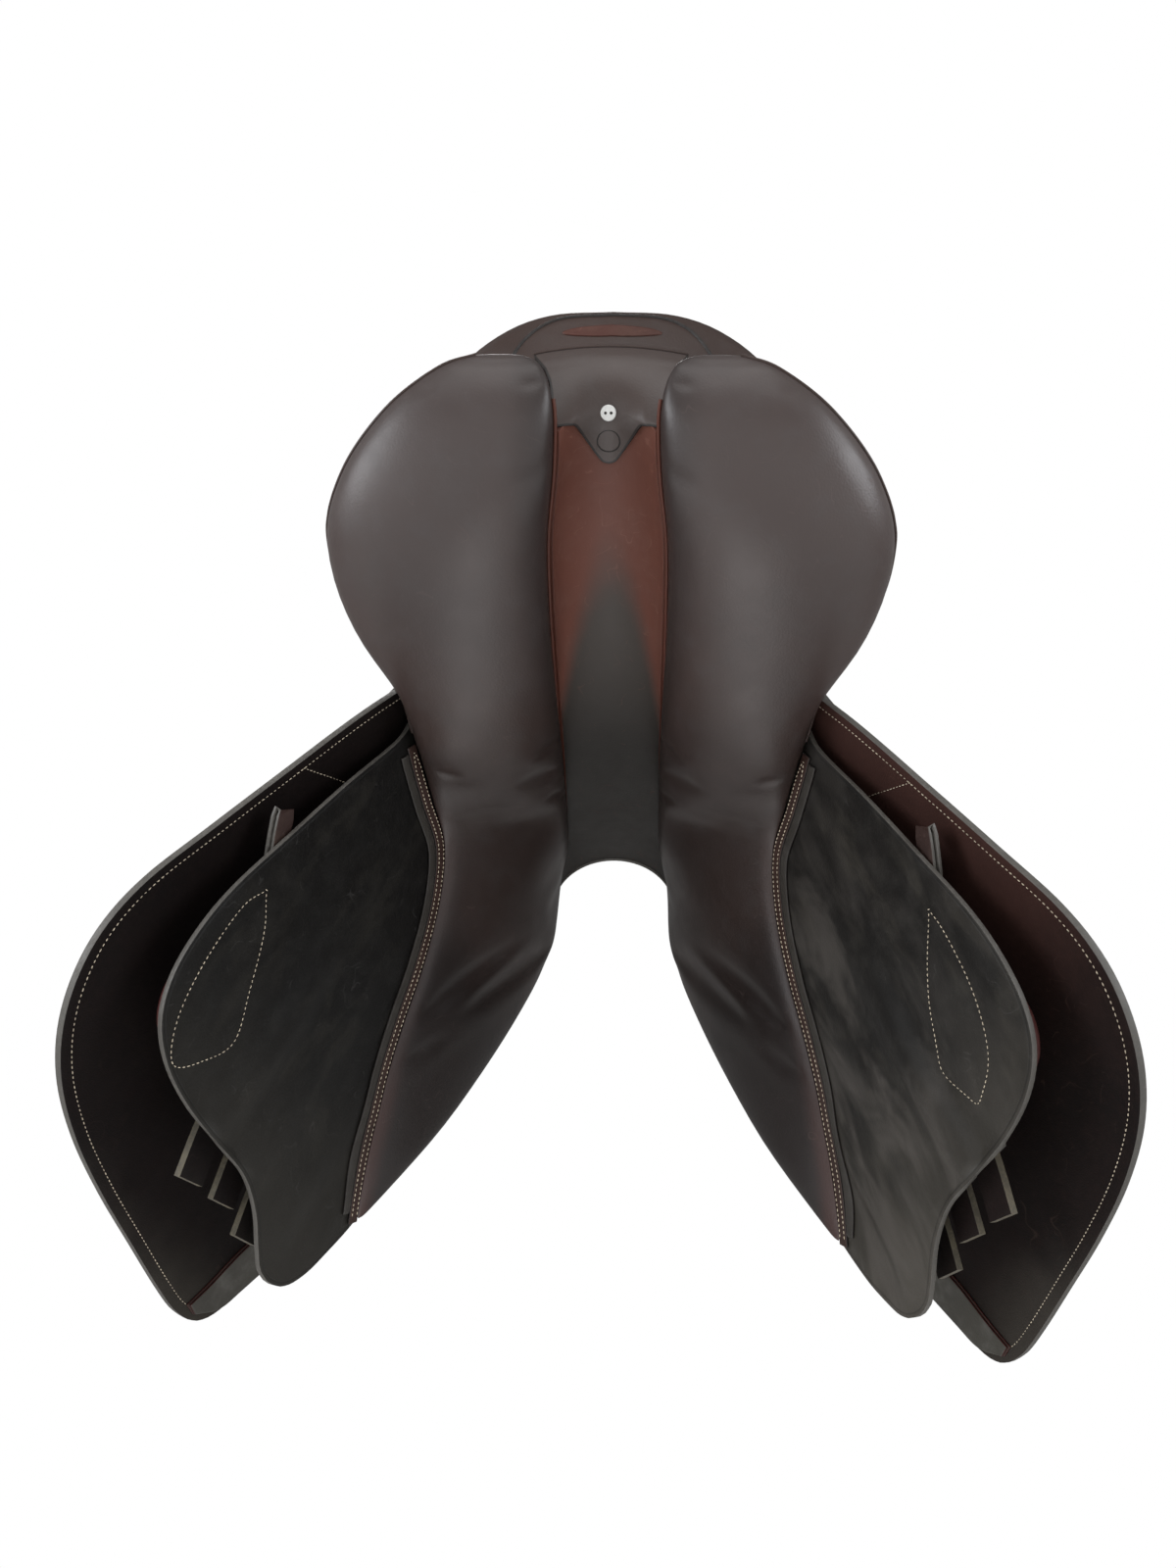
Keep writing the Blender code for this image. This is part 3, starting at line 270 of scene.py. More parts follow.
def laid(xz: np.ndarray, surface: Surface) -> np.ndarray:
    """Points of (x, z) outlines or grids laid on a side surface."""
    x, z = xz[..., 0], xz[..., 1]
    return np.stack([x, surface(x, z), z], -1)


def side_grid(rear: np.ndarray, front: np.ndarray, surface: Surface, rows: int,
              cols: int) -> np.ndarray:
    """Grid between a rear and a front edge, both (x, z) outlines, laid on a surface.

    Args:
        rear: Rear edge as (x, z) points.
        front: Front edge, likewise.
        surface: The side surface.
        rows: Points along the edges.
        cols: Points from edge to edge.

    Returns:
        Array of rows by columns by three.
    """
    a, b = spline(rear, rows), spline(front, rows)
    s = np.linspace(0, 1, cols)[None, :, None]
    return laid(a[:, None] * (1 - s) + b[:, None] * s, surface)


def border(rear: np.ndarray, front: np.ndarray, inset: float) -> np.ndarray:
    """Line that runs down the rear edge, round the foot and up the front edge.

    Args:
        rear: Rear edge as (x, z) points from the top down.
        front: Front edge, likewise.
        inset: Distance kept inside the edge.

    Returns:
        The (x, z) points of the line.
    """
    line = np.vstack([spline(rear, 220), spline(front, 220)[::-1]])
    line = line[np.concatenate([[True], np.linalg.norm(np.diff(line, axis=0), axis=1) > 1e-5])]
    step = steps_of(line)
    inside = line + inset * np.stack([-step[:, 1], step[:, 0]], 1)
    gaps = np.linalg.norm(inside[:, None] - line[None], axis=2).min(1)
    return inside[gaps > inset * 0.985]


# Meshes

def grid_faces(rows: int, cols: int, wrap: bool = False) -> Faces:
    """Quads of a grid of points, wrapped along a row if asked.

    Args:
        rows: Rows of points.
        cols: Points in a row.
        wrap: Whether a row closes on itself.

    Returns:
        Corners of each face.
    """
    faces = []
    for r in range(rows - 1):
        for c in range(cols if wrap else cols - 1):
            n = (c + 1) % cols
            faces.append((r * cols + c, r * cols + n, (r + 1) * cols + n, (r + 1) * cols + c))
    return faces


def placed(name: str, data: Any) -> Piece:
    """New object of the scene with this mesh, camera or lamp.

    Args:
        name: Name of the object.
        data: Its mesh, camera or lamp.

    Returns:
        The object.
    """
    obj = bpy.data.objects.new(name, data)
    bpy.context.scene.collection.objects.link(obj)
    return obj


def shaded(name: str, bm: bmesh.types.BMesh, finishes: Sequence[Finish]) -> Piece:
    """New smooth piece from a BMesh, which is freed.

    Args:
        name: Name of the piece.
        bm: Its form.
        finishes: Its materials.

    Returns:
        The piece.
    """
    mesh = bpy.data.meshes.new(name)
    bm.to_mesh(mesh)
    bm.free()
    for finish in finishes:
        mesh.materials.append(finish)
    mesh.shade_smooth()
    return placed(name, mesh)


def raw_piece(name: str, points: np.ndarray, faces: Faces, finishes: Sequence[Finish],
              closed: bool = True) -> Piece:
    """Smooth shaded object from points and faces.

    Args:
        name: Name of the piece.
        points: Places of its points.
        faces: Corners of its faces.
        finishes: Its materials.
        closed: Whether it is a closed form, whose faces are then turned outwards.

    Returns:
        The new object.
    """
    bm = bmesh.new()
    verts = [bm.verts.new(Vector(p)) for p in points]
    for face in faces:
        bm.faces.new([verts[i] for i in face])
    bmesh.ops.remove_doubles(bm, verts=bm.verts, dist=1e-6)
    if closed:
        bmesh.ops.recalc_face_normals(bm, faces=bm.faces)
        if bm.calc_volume(signed=True) < 0:
            bmesh.ops.reverse_faces(bm, faces=bm.faces)
    return shaded(name, bm, finishes)


def capped(name: str, rings: np.ndarray, finish: Finish) -> Piece:
    """Closed form through rings of points, with a cap on the first and the last ring.

    Args:
        name: Name of the piece.
        rings: Array of rings by points by three.
        finish: Its material.

    Returns:
        The piece.
    """
    count, size = rings.shape[:2]
    faces = grid_faces(count, size, wrap=True)
    faces += [tuple(reversed(range(size))), tuple(range((count - 1) * size, count * size))]
    return raw_piece(name, rings.reshape(-1, 3), faces, [finish])


def modify(obj: Piece, kind: str, **settings: Any) -> bpy.types.Modifier:
    """Add a modifier to a piece and set it.

    Args:
        obj: The piece.
        kind: Blender's name of the modifier type.
        settings: Properties of the modifier.

    Returns:
        The modifier.
    """
    mod = obj.modifiers.new(kind.title(), kind)
    for key, value in settings.items():
        setattr(mod, key, value)
    return mod


def baked(obj: Piece) -> Piece:
    """The piece with its modifiers turned into plain mesh.

    Args:
        obj: The piece.

    Returns:
        The same piece.
    """
    depsgraph = bpy.context.evaluated_depsgraph_get()
    mesh = bpy.data.meshes.new_from_object(obj.evaluated_get(depsgraph))
    mesh.name = obj.name
    obj.modifiers.clear()
    obj.data = mesh
    return obj


def soften(obj: Piece, width: float, angle: float) -> None:
    """Round the edges of a piece that are sharper than the angle in degrees."""
    modify(obj, "BEVEL", width=width, segments=2, limit_method="ANGLE",
           angle_limit=math.radians(angle))


def cut_out(obj: Piece, cutter: Piece) -> None:
    """Take the cutter's form out of a piece and drop the cutter.

    Args:
        obj: The piece.
        cutter: The form that is taken out.
    """
    modify(obj, "BOOLEAN", operation="DIFFERENCE", solver="EXACT", object=cutter)
    baked(obj)
    bpy.data.objects.remove(cutter)


def mark_edges(obj: Piece, line: np.ndarray, name: str = "edge_mm") -> None:
    """Write each point's distance from a line, in millimetres, as an attribute.

    Args:
        obj: The piece.
        line: Points of the line, close together.
        name: Name of the attribute.
    """
    tree = KDTree(len(line))
    for i, p in enumerate(line):
        tree.insert(Vector(p), i)
    tree.balance()
    found = np.array([tree.find(v.co)[2] for v in obj.data.vertices], np.float32)
    obj.data.attributes.new(name, "FLOAT", "POINT").data.foreach_set("value", found * MM_PER_M)


def rim_of(grid: np.ndarray) -> np.ndarray:
    """Dense points round the border of an open grid."""
    loop = np.vstack([grid[0], grid[1:, -1], grid[-1, ::-1][1:], grid[::-1, 0][1:]])
    return np.vstack([loop + (np.roll(loop, -1, 0) - loop) * k / 3 for k in range(3)])


def leather_sheet(name: str, grid: np.ndarray, thickness: float, finishes: Sequence[Finish],
                  toward: Sequence[float] = (0, 1, 0), edge: float = 0.0010) -> Piece:
    """Sheet of leather with rounded cut edges.

    Args:
        name: Name of the piece.
        grid: Rows of points of its middle surface.
        thickness: Thickness of the leather.
        finishes: Materials of the grain face, the flesh face and the cut edge.
        toward: Direction that the grain face looks in.
        edge: Roundness of the cut edges.

    Returns:
        The finished sheet, with its distance from the edge as an attribute.
    """
    rows, cols = grid.shape[:2]
    faces = grid_faces(rows, cols)
    r, c = rows // 2, cols // 2
    across = np.cross(grid[r, c + 1] - grid[r, c], grid[r + 1, c] - grid[r, c])
    if across.dot(np.asarray(toward, float)) < 0:
        faces = [tuple(reversed(f)) for f in faces]
    obj = raw_piece(name, grid.reshape(-1, 3), faces, finishes, closed=False)
    modify(obj, "SOLIDIFY", thickness=thickness, offset=0.0, material_offset=Shell.FLESH.value,
           material_offset_rim=Shell.EDGE.value)
    soften(obj, edge, 50)
    baked(obj)
    mark_edges(obj, rim_of(grid))
    return obj


def lathe(name: str, profile: Sequence[tuple[float, float]], centre: np.ndarray,
          axis: np.ndarray, finish: Finish, count: int) -> Piece:
    """Turned form from (radius, height) points about an axis.

    Args:
        name: Name of the piece.
        profile: Radius and height of each ring.
        centre: Foot of the axis.
        axis: Direction of the axis.
        finish: Its material.
        count: Points of each ring.

    Returns:
        The closed form.
    """
    axis = unit(axis)
    u = unit(np.cross(axis, [0.31, 0.22, 0.92]))
    v = np.cross(axis, u)
    angle = np.arange(count) * TURN / count
    ring = np.cos(angle)[:, None] * u + np.sin(angle)[:, None] * v
    return capped(name, np.array([centre + axis * h + ring * r for r, h in profile]), finish)


def smooth_patches(bm: bmesh.types.BMesh, limit: float) -> list[list[Any]]:
    """Groups of faces that meet at less than the limit angle, the largest group first.

    Args:
        bm: The mesh.
        limit: Angle in radians from which an edge parts two groups.

    Returns:
        The faces of each group.
    """
    bm.faces.ensure_lookup_table()
    seen: set[int] = set()
    patches: list[list[Any]] = []
    for face in bm.faces:
        if face.index in seen:
            continue
        seen.add(face.index)
        stack, patch = [face], []
        while stack:
            here = stack.pop()
            patch.append(here)
            for e in here.edges:
                if len(e.link_faces) == 2 and e.calc_face_angle(0) < limit:
                    fresh = [other for other in e.link_faces if other.index not in seen]
                    seen.update(other.index for other in fresh)
                    stack.extend(fresh)
        patches.append(patch)
    return sorted(patches, key=lambda patch: -sum(f.calc_area() for f in patch))


def sideways(patch: list[Any]) -> float:
    """Mean distance of a group of faces from the horse's centre plane."""
    area = sum(f.calc_area() for f in patch)
    return abs(sum(f.calc_center_median().y * f.calc_area() for f in patch) / area)


def from_node(node: str, name: str, finishes: Sequence[Finish], width: float) -> Piece:
    """Copy of a CAD node with its points merged, its faces sorted and its edges rounded.

    Args:
        node: Name of the CAD node.
        name: Name of the new piece.
        finishes: Materials of the outer face, the inner face and everything else, or only one.
        width: Roundness of the edges.

    Returns:
        The new piece, with plain mesh.
    """
    bm = bmesh.new()
    bm.from_mesh(frame["nodes"][node].data)
    bmesh.ops.remove_doubles(bm, verts=bm.verts, dist=2e-6)
    bmesh.ops.dissolve_limit(bm, angle_limit=math.radians(NODE_FLAT), verts=bm.verts,
                             edges=bm.edges)
    patches = smooth_patches(bm, math.radians(NODE_SHARP))
    if len(finishes) == len(Shell):
        patches[:2] = sorted(patches[:2], key=sideways, reverse=True)
    for place, patch in enumerate(patches):
        for face in patch:
            face.material_index = min(place, len(finishes) - 1)
    obj = shaded(name, bm, finishes)
    obj.data.set_sharp_from_angle(angle=math.radians(30))
    soften(obj, width, NODE_SHARP - 10)
    return baked(obj)


# Node trees

class Graph:
    """Writer of one node tree, for a finish or for a shape that repeats."""

    def __init__(self, tree: bpy.types.NodeTree) -> None:
        """Keep the tree that nodes are added to."""
        self.tree = tree

    def node(self, kind: str, inputs: dict[Any, Any] | None = None, **settings: Any) -> "Wire":
        """Add a node, set it and link it.

        Args:
            kind: Blender's name of the node type.
            inputs: Values or wires by the socket's name or number.
            settings: Properties of the node, which are set first.

        Returns:
            The node's first enabled output.
        """
        made = self.tree.nodes.new(kind)
        for key, value in settings.items():
            setattr(made, key, value)
        for key, value in (inputs or {}).items():
            socket = made.inputs[key]
            if isinstance(value, Wire):
                self.tree.links.new(value.socket, socket)
            else:
                socket.default_value = (*value, 1.0) if socket.type == "RGBA" else value
        live = [s for s in made.outputs if s.enabled]
        return Wire(self, live[0] if live else None, made)


class Wire:
    """One socket of a node, on which arithmetic adds Math nodes."""

    def __init__(self, graph: Graph, socket: Any, made: Any) -> None:
        """Keep the graph, the socket and its node."""
        self.graph, self.socket, self.made = graph, socket, made

    def of(self, key: str | int) -> "Wire":
        """Another output of the same node, by its name or number."""
        return Wire(self.graph, self.made.outputs[key], self.made)

    def math(self, operation: str, a: Any, b: Any = 0.0, clamp: bool = False) -> "Wire":
        """A Math node on two values."""
        return self.graph.node("ShaderNodeMath", {0: a, 1: b}, operation=operation,
                               use_clamp=clamp)

    def __add__(self, other: Any) -> "Wire":
        """Sum."""
        return self.math("ADD", self, other)

    __radd__ = __add__

    def __mul__(self, other: Any) -> "Wire":
        """Product."""
        return self.math("MULTIPLY", self, other)

    def __sub__(self, other: Any) -> "Wire":
        """Difference."""
        return self.math("SUBTRACT", self, other)

    def __rsub__(self, other: Any) -> "Wire":
        """Difference the other way round."""
        return self.math("SUBTRACT", other, self)

    def __abs__(self) -> "Wire":
        """Size without sign."""
        return self.math("ABSOLUTE", self)

    def held(self) -> "Wire":
        """The value kept between nought and one."""
        return self.math("ADD", self, 0.0, clamp=True)

    def top(self, other: Any) -> "Wire":
        """The larger of two values."""
        return self.math("MAXIMUM", self, other)

    def step(self, low: float, high: float) -> "Wire":
        """Smooth step from nought at low to one at high.

        Args:
            low: Value that gives nought.
            high: Value that gives one.

        Returns:
            The stepped value.
        """
        return self.graph.node("ShaderNodeMapRange",
                               {"Value": self, "From Min": low, "From Max": high, "To Min": 0.0,
                                "To Max": 1.0}, interpolation_type="SMOOTHSTEP", clamp=True)


class Paint(Graph):
    """Node tree of one material."""

    def __init__(self, name: str) -> None:
        """Start a material with a bare shader.

        Args:
            name: Name of the material.
        """
        self.material = bpy.data.materials.new(name)
        self.material.use_nodes = True
        super().__init__(self.material.node_tree)
        self.tree.nodes.clear()
        self.at = self.node("ShaderNodeTexCoord").of("Object")
        axes = self.node("ShaderNodeSeparateXYZ", {0: self.at})
        self.x, self.y, self.z = axes.of("X"), axes.of("Y"), axes.of("Z")

    def noise(self, scale: float, detail: float = 4.0, rough: float = 0.55, warp: float = 0.0,
              at: Wire | None = None) -> Wire:
        """Noise between nought and one.

        Args:
            scale: Waves to the metre.
            detail: Number of finer layers.
            rough: Strength of the finer layers.
            warp: How far the pattern is bent.
            at: Places to read it at, or the object's own.

        Returns:
            The noise.
        """
        return self.node("ShaderNodeTexNoise",
                         {"Vector": at or self.at, "Scale": scale, "Detail": detail,
                          "Roughness": rough, "Distortion": warp},
                         noise_dimensions="3D").of("Fac")

    def ragged(self, scale: float, detail: float = 4.0, rough: float = 0.6) -> Wire:
        """Noise about nought, which frays the border of a mask."""
        return self.noise(scale, detail, rough) - 0.5

    def cells(self, scale: float) -> Wire:
        """Distance in a cell pattern."""
        return self.node("ShaderNodeTexVoronoi", {"Vector": self.at, "Scale": scale},
                         feature="F1").of("Distance")

    def stretched(self, x: float, y: float, z: float) -> Wire:
        """Object coordinates multiplied axis by axis."""
        return self.node("ShaderNodeVectorMath", {0: self.at, 1: (x, y, z)},
                         operation="MULTIPLY")

    def attribute(self, name: str) -> Wire:
        """A piece's own attribute."""
        return self.node("ShaderNodeAttribute", attribute_name=name).of("Fac")

    def mix(self, factor: Any, a: Any, b: Any) -> Wire:
        """Colour between a and b."""
        return self.node("ShaderNodeMix", {0: factor, 6: a, 7: b}, data_type="RGBA",
                         clamp_factor=True).of(2)

    def scratches(self, scale: float, thin: float, sparse: float) -> Wire:
        """Thin, broken, curling lines.

        Args:
            scale: Waves to the metre.
            thin: Thinness of a line.
            sparse: How much of the lines is left out.

        Returns:
            One on a line and nought off it.
        """
        lines = 1.0 - (abs(self.noise(scale, 1.5, 0.4, 0.6) - 0.5)).step(0.0, thin)
        gaps = self.noise(scale * 2.3, 2.0).step(sparse, sparse + 0.08)
        return lines * gaps

    def finish(self, constants: dict[str, float], links: dict[str, Any],
               height: Wire | None = None, depth: float = 0.0) -> Finish:
        """Close the tree with a shader.

        Args:
            constants: Values set on the shader's own sockets.
            links: Wires or colours for its sockets.
            height: What the surface's relief follows.
            depth: Depth of that relief in metres.

        Returns:
            The material.
        """
        if height is not None:
            links["Normal"] = self.node("ShaderNodeBump", {"Strength": 1.0, "Distance": depth,
                                                           "Height": height})
        shader = self.node("ShaderNodeBsdfPrincipled", {**constants, **links})
        self.node("ShaderNodeOutputMaterial", {"Surface": shader})
        return self.material


# Finishes

def scaled(colour: Colour, share: float) -> Colour:
    """The colour made darker or lighter."""
    return colour[0] * share, colour[1] * share, colour[2] * share


@dataclass(frozen=True)
class Look:
    """One finish: what its material is called, its colour and how its nodes are written."""

    name: str
    colour: Colour

    def build(self) -> Finish:
        """The finish as a material; each kind writes its own nodes."""
        raise NotImplementedError(self.name)


@dataclass(frozen=True)
class Leather(Look):
    """Waxed bridle or panel leather."""

    dark: Colour
    bloom: Colour
    roughness: float = 0.45
    grain: float = 620.0
    depth: float = 0.00006
    mottle: float = 0.5
    haze: float = 0.25
    scuffs: float = 0.0
    edged: bool = False
    coat: float = 0.08
    shine: float = 0.5
    rim: float = 0.0
    # Colour of the dark band along the edge
    rim_dark: Colour = (0.008, 0.006, 0.005)

    def tone(self, p: Paint, base: Wire) -> Wire:
        """Wear of one kind of leather over its surface; none on plain leather."""
        return base

    def build(self) -> Finish:
        """Write the nodes.

        Returns:
            The material.
        """
        p = Paint(self.name)
        broad = p.noise(7.0, 4.0, 0.6).step(0.32, 0.68)
        fine = p.noise(55.0, 5.0, 0.62)
        base = p.mix(broad * self.mottle, self.colour, self.dark)
        base = p.mix(fine.step(0.45, 0.75) * self.haze, base, self.bloom)
        base = self.tone(p, base)
        pores = p.cells(self.grain).step(0.05, 0.75)
        wrinkle = p.noise(self.grain * 0.35, 3.0, 0.6)
        height = pores * 0.55 + wrinkle * 0.45
        rough = self.roughness + (fine - 0.5) * 0.22 + (broad - 0.5) * 0.06
        if self.scuffs:
            marks = p.scratches(34.0, 0.006, 0.52).top(p.scratches(61.0, 0.008, 0.57) * 0.7)
            rubbed = tuple(min(1.0, c * 4 + 0.05) for c in self.colour)
            base = p.mix(marks * self.scuffs, base, rubbed)
            rough = rough + marks * 0.15
            height = height - marks * 0.4
        if self.edged:
            from_edge = p.attribute("edge_mm")
            crease = 1.0 - (abs(from_edge - 3.0)).step(0.0, 0.7)
            height = height - crease * 1.6
            base = p.mix(crease * 0.45, base, self.dark)
            base = p.mix((1.0 - from_edge.step(0.2, 2.4)) * 0.35, base, self.bloom)
        if self.rim:
            # Dark band along the cut edge, with a shallow groove.
            line = 1.0 - p.attribute("edge_mm").step(self.rim * 0.90, self.rim)
            base = p.mix(line * 0.9, base, self.rim_dark)
            height = height - line
        return p.finish({"Coat Weight": self.coat, "Coat Roughness": 0.35,
                         "Specular IOR Level": self.shine},
                        {"Base Color": base, "Roughness": rough.held()}, height, self.depth)


@dataclass(frozen=True)
class PanelLeather(Leather):
    """Panel leather: a painted sheen behind, painted shade in front and inside, redder near its
    outer seam.
    """

    red: Colour = (0.068, 0.019, 0.013)
    # Colour of the painted sheen behind
    pale: Colour = (0.072, 0.064, 0.064)
    # Colour of the painted shade
    deep: Colour = (0.011, 0.008, 0.0075)

    def tone(self, p: Paint, base: Wire) -> Wire:
        """Red where the seam has kept the dye, a painted sheen behind and painted shade in front,
        low down and by the channel.

        Args:
            p: Node tree of the material.
            base: Colour without the wear.

        Returns:
            Colour with the wear.
        """
        ragged = p.ragged(16.0)
        seam = p.attribute("seam_mm") + ragged * 16.0
        near = 1.0 - seam.step(1.0, 13.0)
        low = (ragged * 0.05 - p.z).step(0.14, 0.22) * (1.0 - seam.step(4.0, 18.0))
        # Painted sheen: pale grey over the rear of the pads.
        behind = (p.ragged(9.0, 3.0, 0.55) * 0.12 - p.x).step(0.02, 0.15)
        base = p.mix(behind * 0.35, base, self.pale)
        front = (p.x + ragged * 0.04).step(-0.02, 0.05)
        # Painted shade: darker towards the front, on the low slabs and beside the channel.
        shade = (p.x + ragged * 0.05).step(-0.13, 0.02) * 0.58
        shade = shade.top((ragged * 0.06 - p.z).step(-0.03, 0.12) * 0.93)
        shade = shade.top((1.0 - (abs(p.y) + ragged * 0.008).step(0.036, 0.062)) * 0.5)
        base = p.mix(shade, base, self.deep)
        base = p.mix(near * front * 0.14, base, self.red)
        return p.mix(low * 0.30, base, self.red)


@dataclass(frozen=True)
class LiningLeather(Leather):
    """Channel lining, red-brown behind and darkened towards the arch."""

    deep: Colour = (0.064, 0.056, 0.050)
    scratch: Colour = (0.30, 0.15, 0.11)

    def tone(self, p: Paint, base: Wire) -> Wire:
        """Dark from the middle of the channel forwards, red along its sides.

        Args:
            p: Node tree of the material.
            base: Colour without the wear.

        Returns:
            Colour with the wear.
        """
        ragged = p.ragged(18.0)
        side = p.y * p.y * 95.0
        forward = (p.x + ragged * 0.03 - side).step(-0.160, -0.095)
        far = p.x.step(-0.09, 0.05)
        lines = p.scratches(48.0, 0.010, 0.50)
        base = p.mix(forward * 0.97, base, self.deep)
        base = p.mix(forward * far, base, scaled(self.deep, 0.35))
        return p.mix(lines * (1.0 - forward) * 0.30, base, self.scratch)


@dataclass(frozen=True)
class SweatLeather(Leather):
    """Sweat flap leather, nearly black, olive and worn towards its foot."""

    # Colour of the worn foot, also used for the painted highlight streaks
    worn: Colour = (0.060, 0.054, 0.044)
    # Colour of the painted light on the right flap
    lit_pale: Colour = (0.085, 0.076, 0.068)
    # Colour of the painted shade on the left flap
    black: Colour = (0.002, 0.002, 0.002)

    def tone(self, p: Paint, base: Wire) -> Wire:
        """Lighter olive towards the foot, with painted highlight streaks; painted shade on the left
        flap, painted light on the right.

        Args:
            p: Node tree of the material.
            base: Colour without the wear.

        Returns:
            Colour with the wear.
        """
        ragged = p.ragged(9.0)
        low = (ragged * 0.10 - p.z).step(0.17, 0.33)
        # Painted highlight: long streaks in the worn colour.
        sheen_streak = p.noise(1.0, 3.0, 0.6, 0.4, p.stretched(42.0, 42.0, 9.0)).step(0.48, 0.72)
        base = p.mix(low * 0.75, base, self.worn)
        base = p.mix(sheen_streak * 0.30, base, self.worn)
        # Painted shade makes the left flap nearly black; painted light puts pale clouds on the
        # right flap's front.
        left = p.y.step(-0.02, 0.02)
        cloud = p.noise(1.0, 3.0, 0.6, 0.5, p.stretched(26.0, 26.0, 8.0)).step(0.40, 0.64)
        front = (p.x + ragged * 0.08).step(-0.02, 0.08)
        base = p.mix((1.0 - left) * (cloud * (front * 0.42 + 0.12)), base, self.lit_pale)
        return p.mix(left * 0.60, base, self.black)


@dataclass(frozen=True)
class FleshLeather(Leather):
    """Flesh side of a flap: dark brown nap with pale hair-like marks."""

    mark: Colour = (0.16, 0.10, 0.075)
    brown: Colour = (0.056, 0.024, 0.019)
    # Colour of the painted shade
    black: Colour = (0.0015, 0.001, 0.001)
    # Colour of the painted sheen on the foot
    grey: Colour = (0.055, 0.049, 0.041)

    def tone(self, p: Paint, base: Wire) -> Wire:
        """Nap, curling marks and a painted sheen on the foot; painted shade on the left flap and
        low on the right.

        Args:
            p: Node tree of the material.
            base: Colour without the wear.

        Returns:
            Colour with the wear.
        """
        nap = p.noise(210.0, 4.0, 0.7).step(0.42, 0.70)
        place = p.noise(7.0, 3.0).step(0.42, 0.66)
        hairs = p.scratches(30.0, 0.007, 0.47).top(p.scratches(58.0, 0.012, 0.55))
        ragged = p.ragged(11.0, 3.0, 0.55) * 0.06
        low = (ragged - p.z).step(0.275, 0.335)
        base = p.mix(nap * 0.35, base, scaled(self.colour, 2.0))
        base = p.mix(hairs * place * 0.5, base, self.mark)
        left = p.y.step(-0.02, 0.02)
        top = (p.z + ragged).step(-0.25, -0.12)
        base = p.mix((1.0 - left) * top * 0.60, base, self.brown)
        # Painted shade: the left flap and the right flap below its top go nearly black.
        base = p.mix(left.top((1.0 - top) * 0.85) * 0.80, base, self.black)
        # Painted sheen on the foot.
        return p.mix(low * 0.6, base, self.grey)


@dataclass(frozen=True)
class CutEdge(Look):
    """Dyed and rubbed cut edge of leather."""

    fibre: Colour
    speckle: float = 0.3

    def build(self) -> Finish:
        """Write the nodes.

        Returns:
            The material.
        """
        p = Paint(self.name)
        grit = p.noise(420.0, 3.0, 0.7).step(0.45, 0.72)
        worn = p.noise(45.0, 3.0).step(0.4, 0.7)
        base = p.mix(grit * self.speckle, self.colour, self.fibre)
        base = p.mix(worn * self.speckle * 0.6, base, self.fibre)
        return p.finish({}, {"Base Color": base, "Roughness": (0.5 + grit * 0.25).held()},
                        grit, 0.00012)


@dataclass(frozen=True)
class Thread(Look):
    """Waxed linen thread."""

    def build(self) -> Finish:
        """Write the nodes.

        Returns:
            The material.
        """
        p = Paint(self.name)
        dirt = p.noise(38.0, 4.0).step(0.35, 0.75)
        twist = p.noise(2400.0, 2.0, 0.5)
        base = p.mix(dirt * 0.45, self.colour, scaled(self.colour, 0.35))
        return p.finish({"Roughness": 0.75}, {"Base Color": base}, twist, 0.00008)


@dataclass(frozen=True)
class Metal(Look):
    """Forged steel, brass or nickel with fine marks."""

    roughness: float
    pits: float = 0.2

    def build(self) -> Finish:
        """Write the nodes.

        Returns:
            The material.
        """
        p = Paint(self.name)
        tarnish = p.noise(60.0, 4.0, 0.6).step(0.4, 0.75)
        marks = p.scratches(140.0, 0.02, 0.5)
        base = p.mix(tarnish * self.pits, self.colour, scaled(self.colour, 0.45))
        rough = self.roughness + tarnish * self.pits * 0.8 + marks * 0.1
        return p.finish({"Metallic": 1.0}, {"Base Color": base, "Roughness": rough.held()},
                        p.noise(500.0, 3.0) - marks * 0.3, 0.00005)


@dataclass(frozen=True)
class Plain(Look):
    """Wood, web, foam and moulded plastic, each with its own pattern."""

    second: Colour
    roughness: float
    stretch: Triple
    depth: float
    weave: float = 0.0

    def build(self) -> Finish:
        """Write the nodes.

        Returns:
            The material.
        """
        p = Paint(self.name)
        lines = p.noise(1.0, 4.0, 0.6, 0.8, p.stretched(*self.stretch))
        base = p.mix(lines.step(0.35, 0.7), self.colour, self.second)
        height = lines
        if self.weave:
            over, under = (axis.math("SINE", axis * (TURN * self.weave)) for axis in (p.x, p.y))
            height = over * under * 0.5 + 0.5
            base = p.mix(height * 0.4, base, self.second)
        rough = self.roughness + lines * 0.15
        return p.finish({}, {"Base Color": base, "Roughness": rough.held()}, height, self.depth)


# Shapes that repeat or follow a line

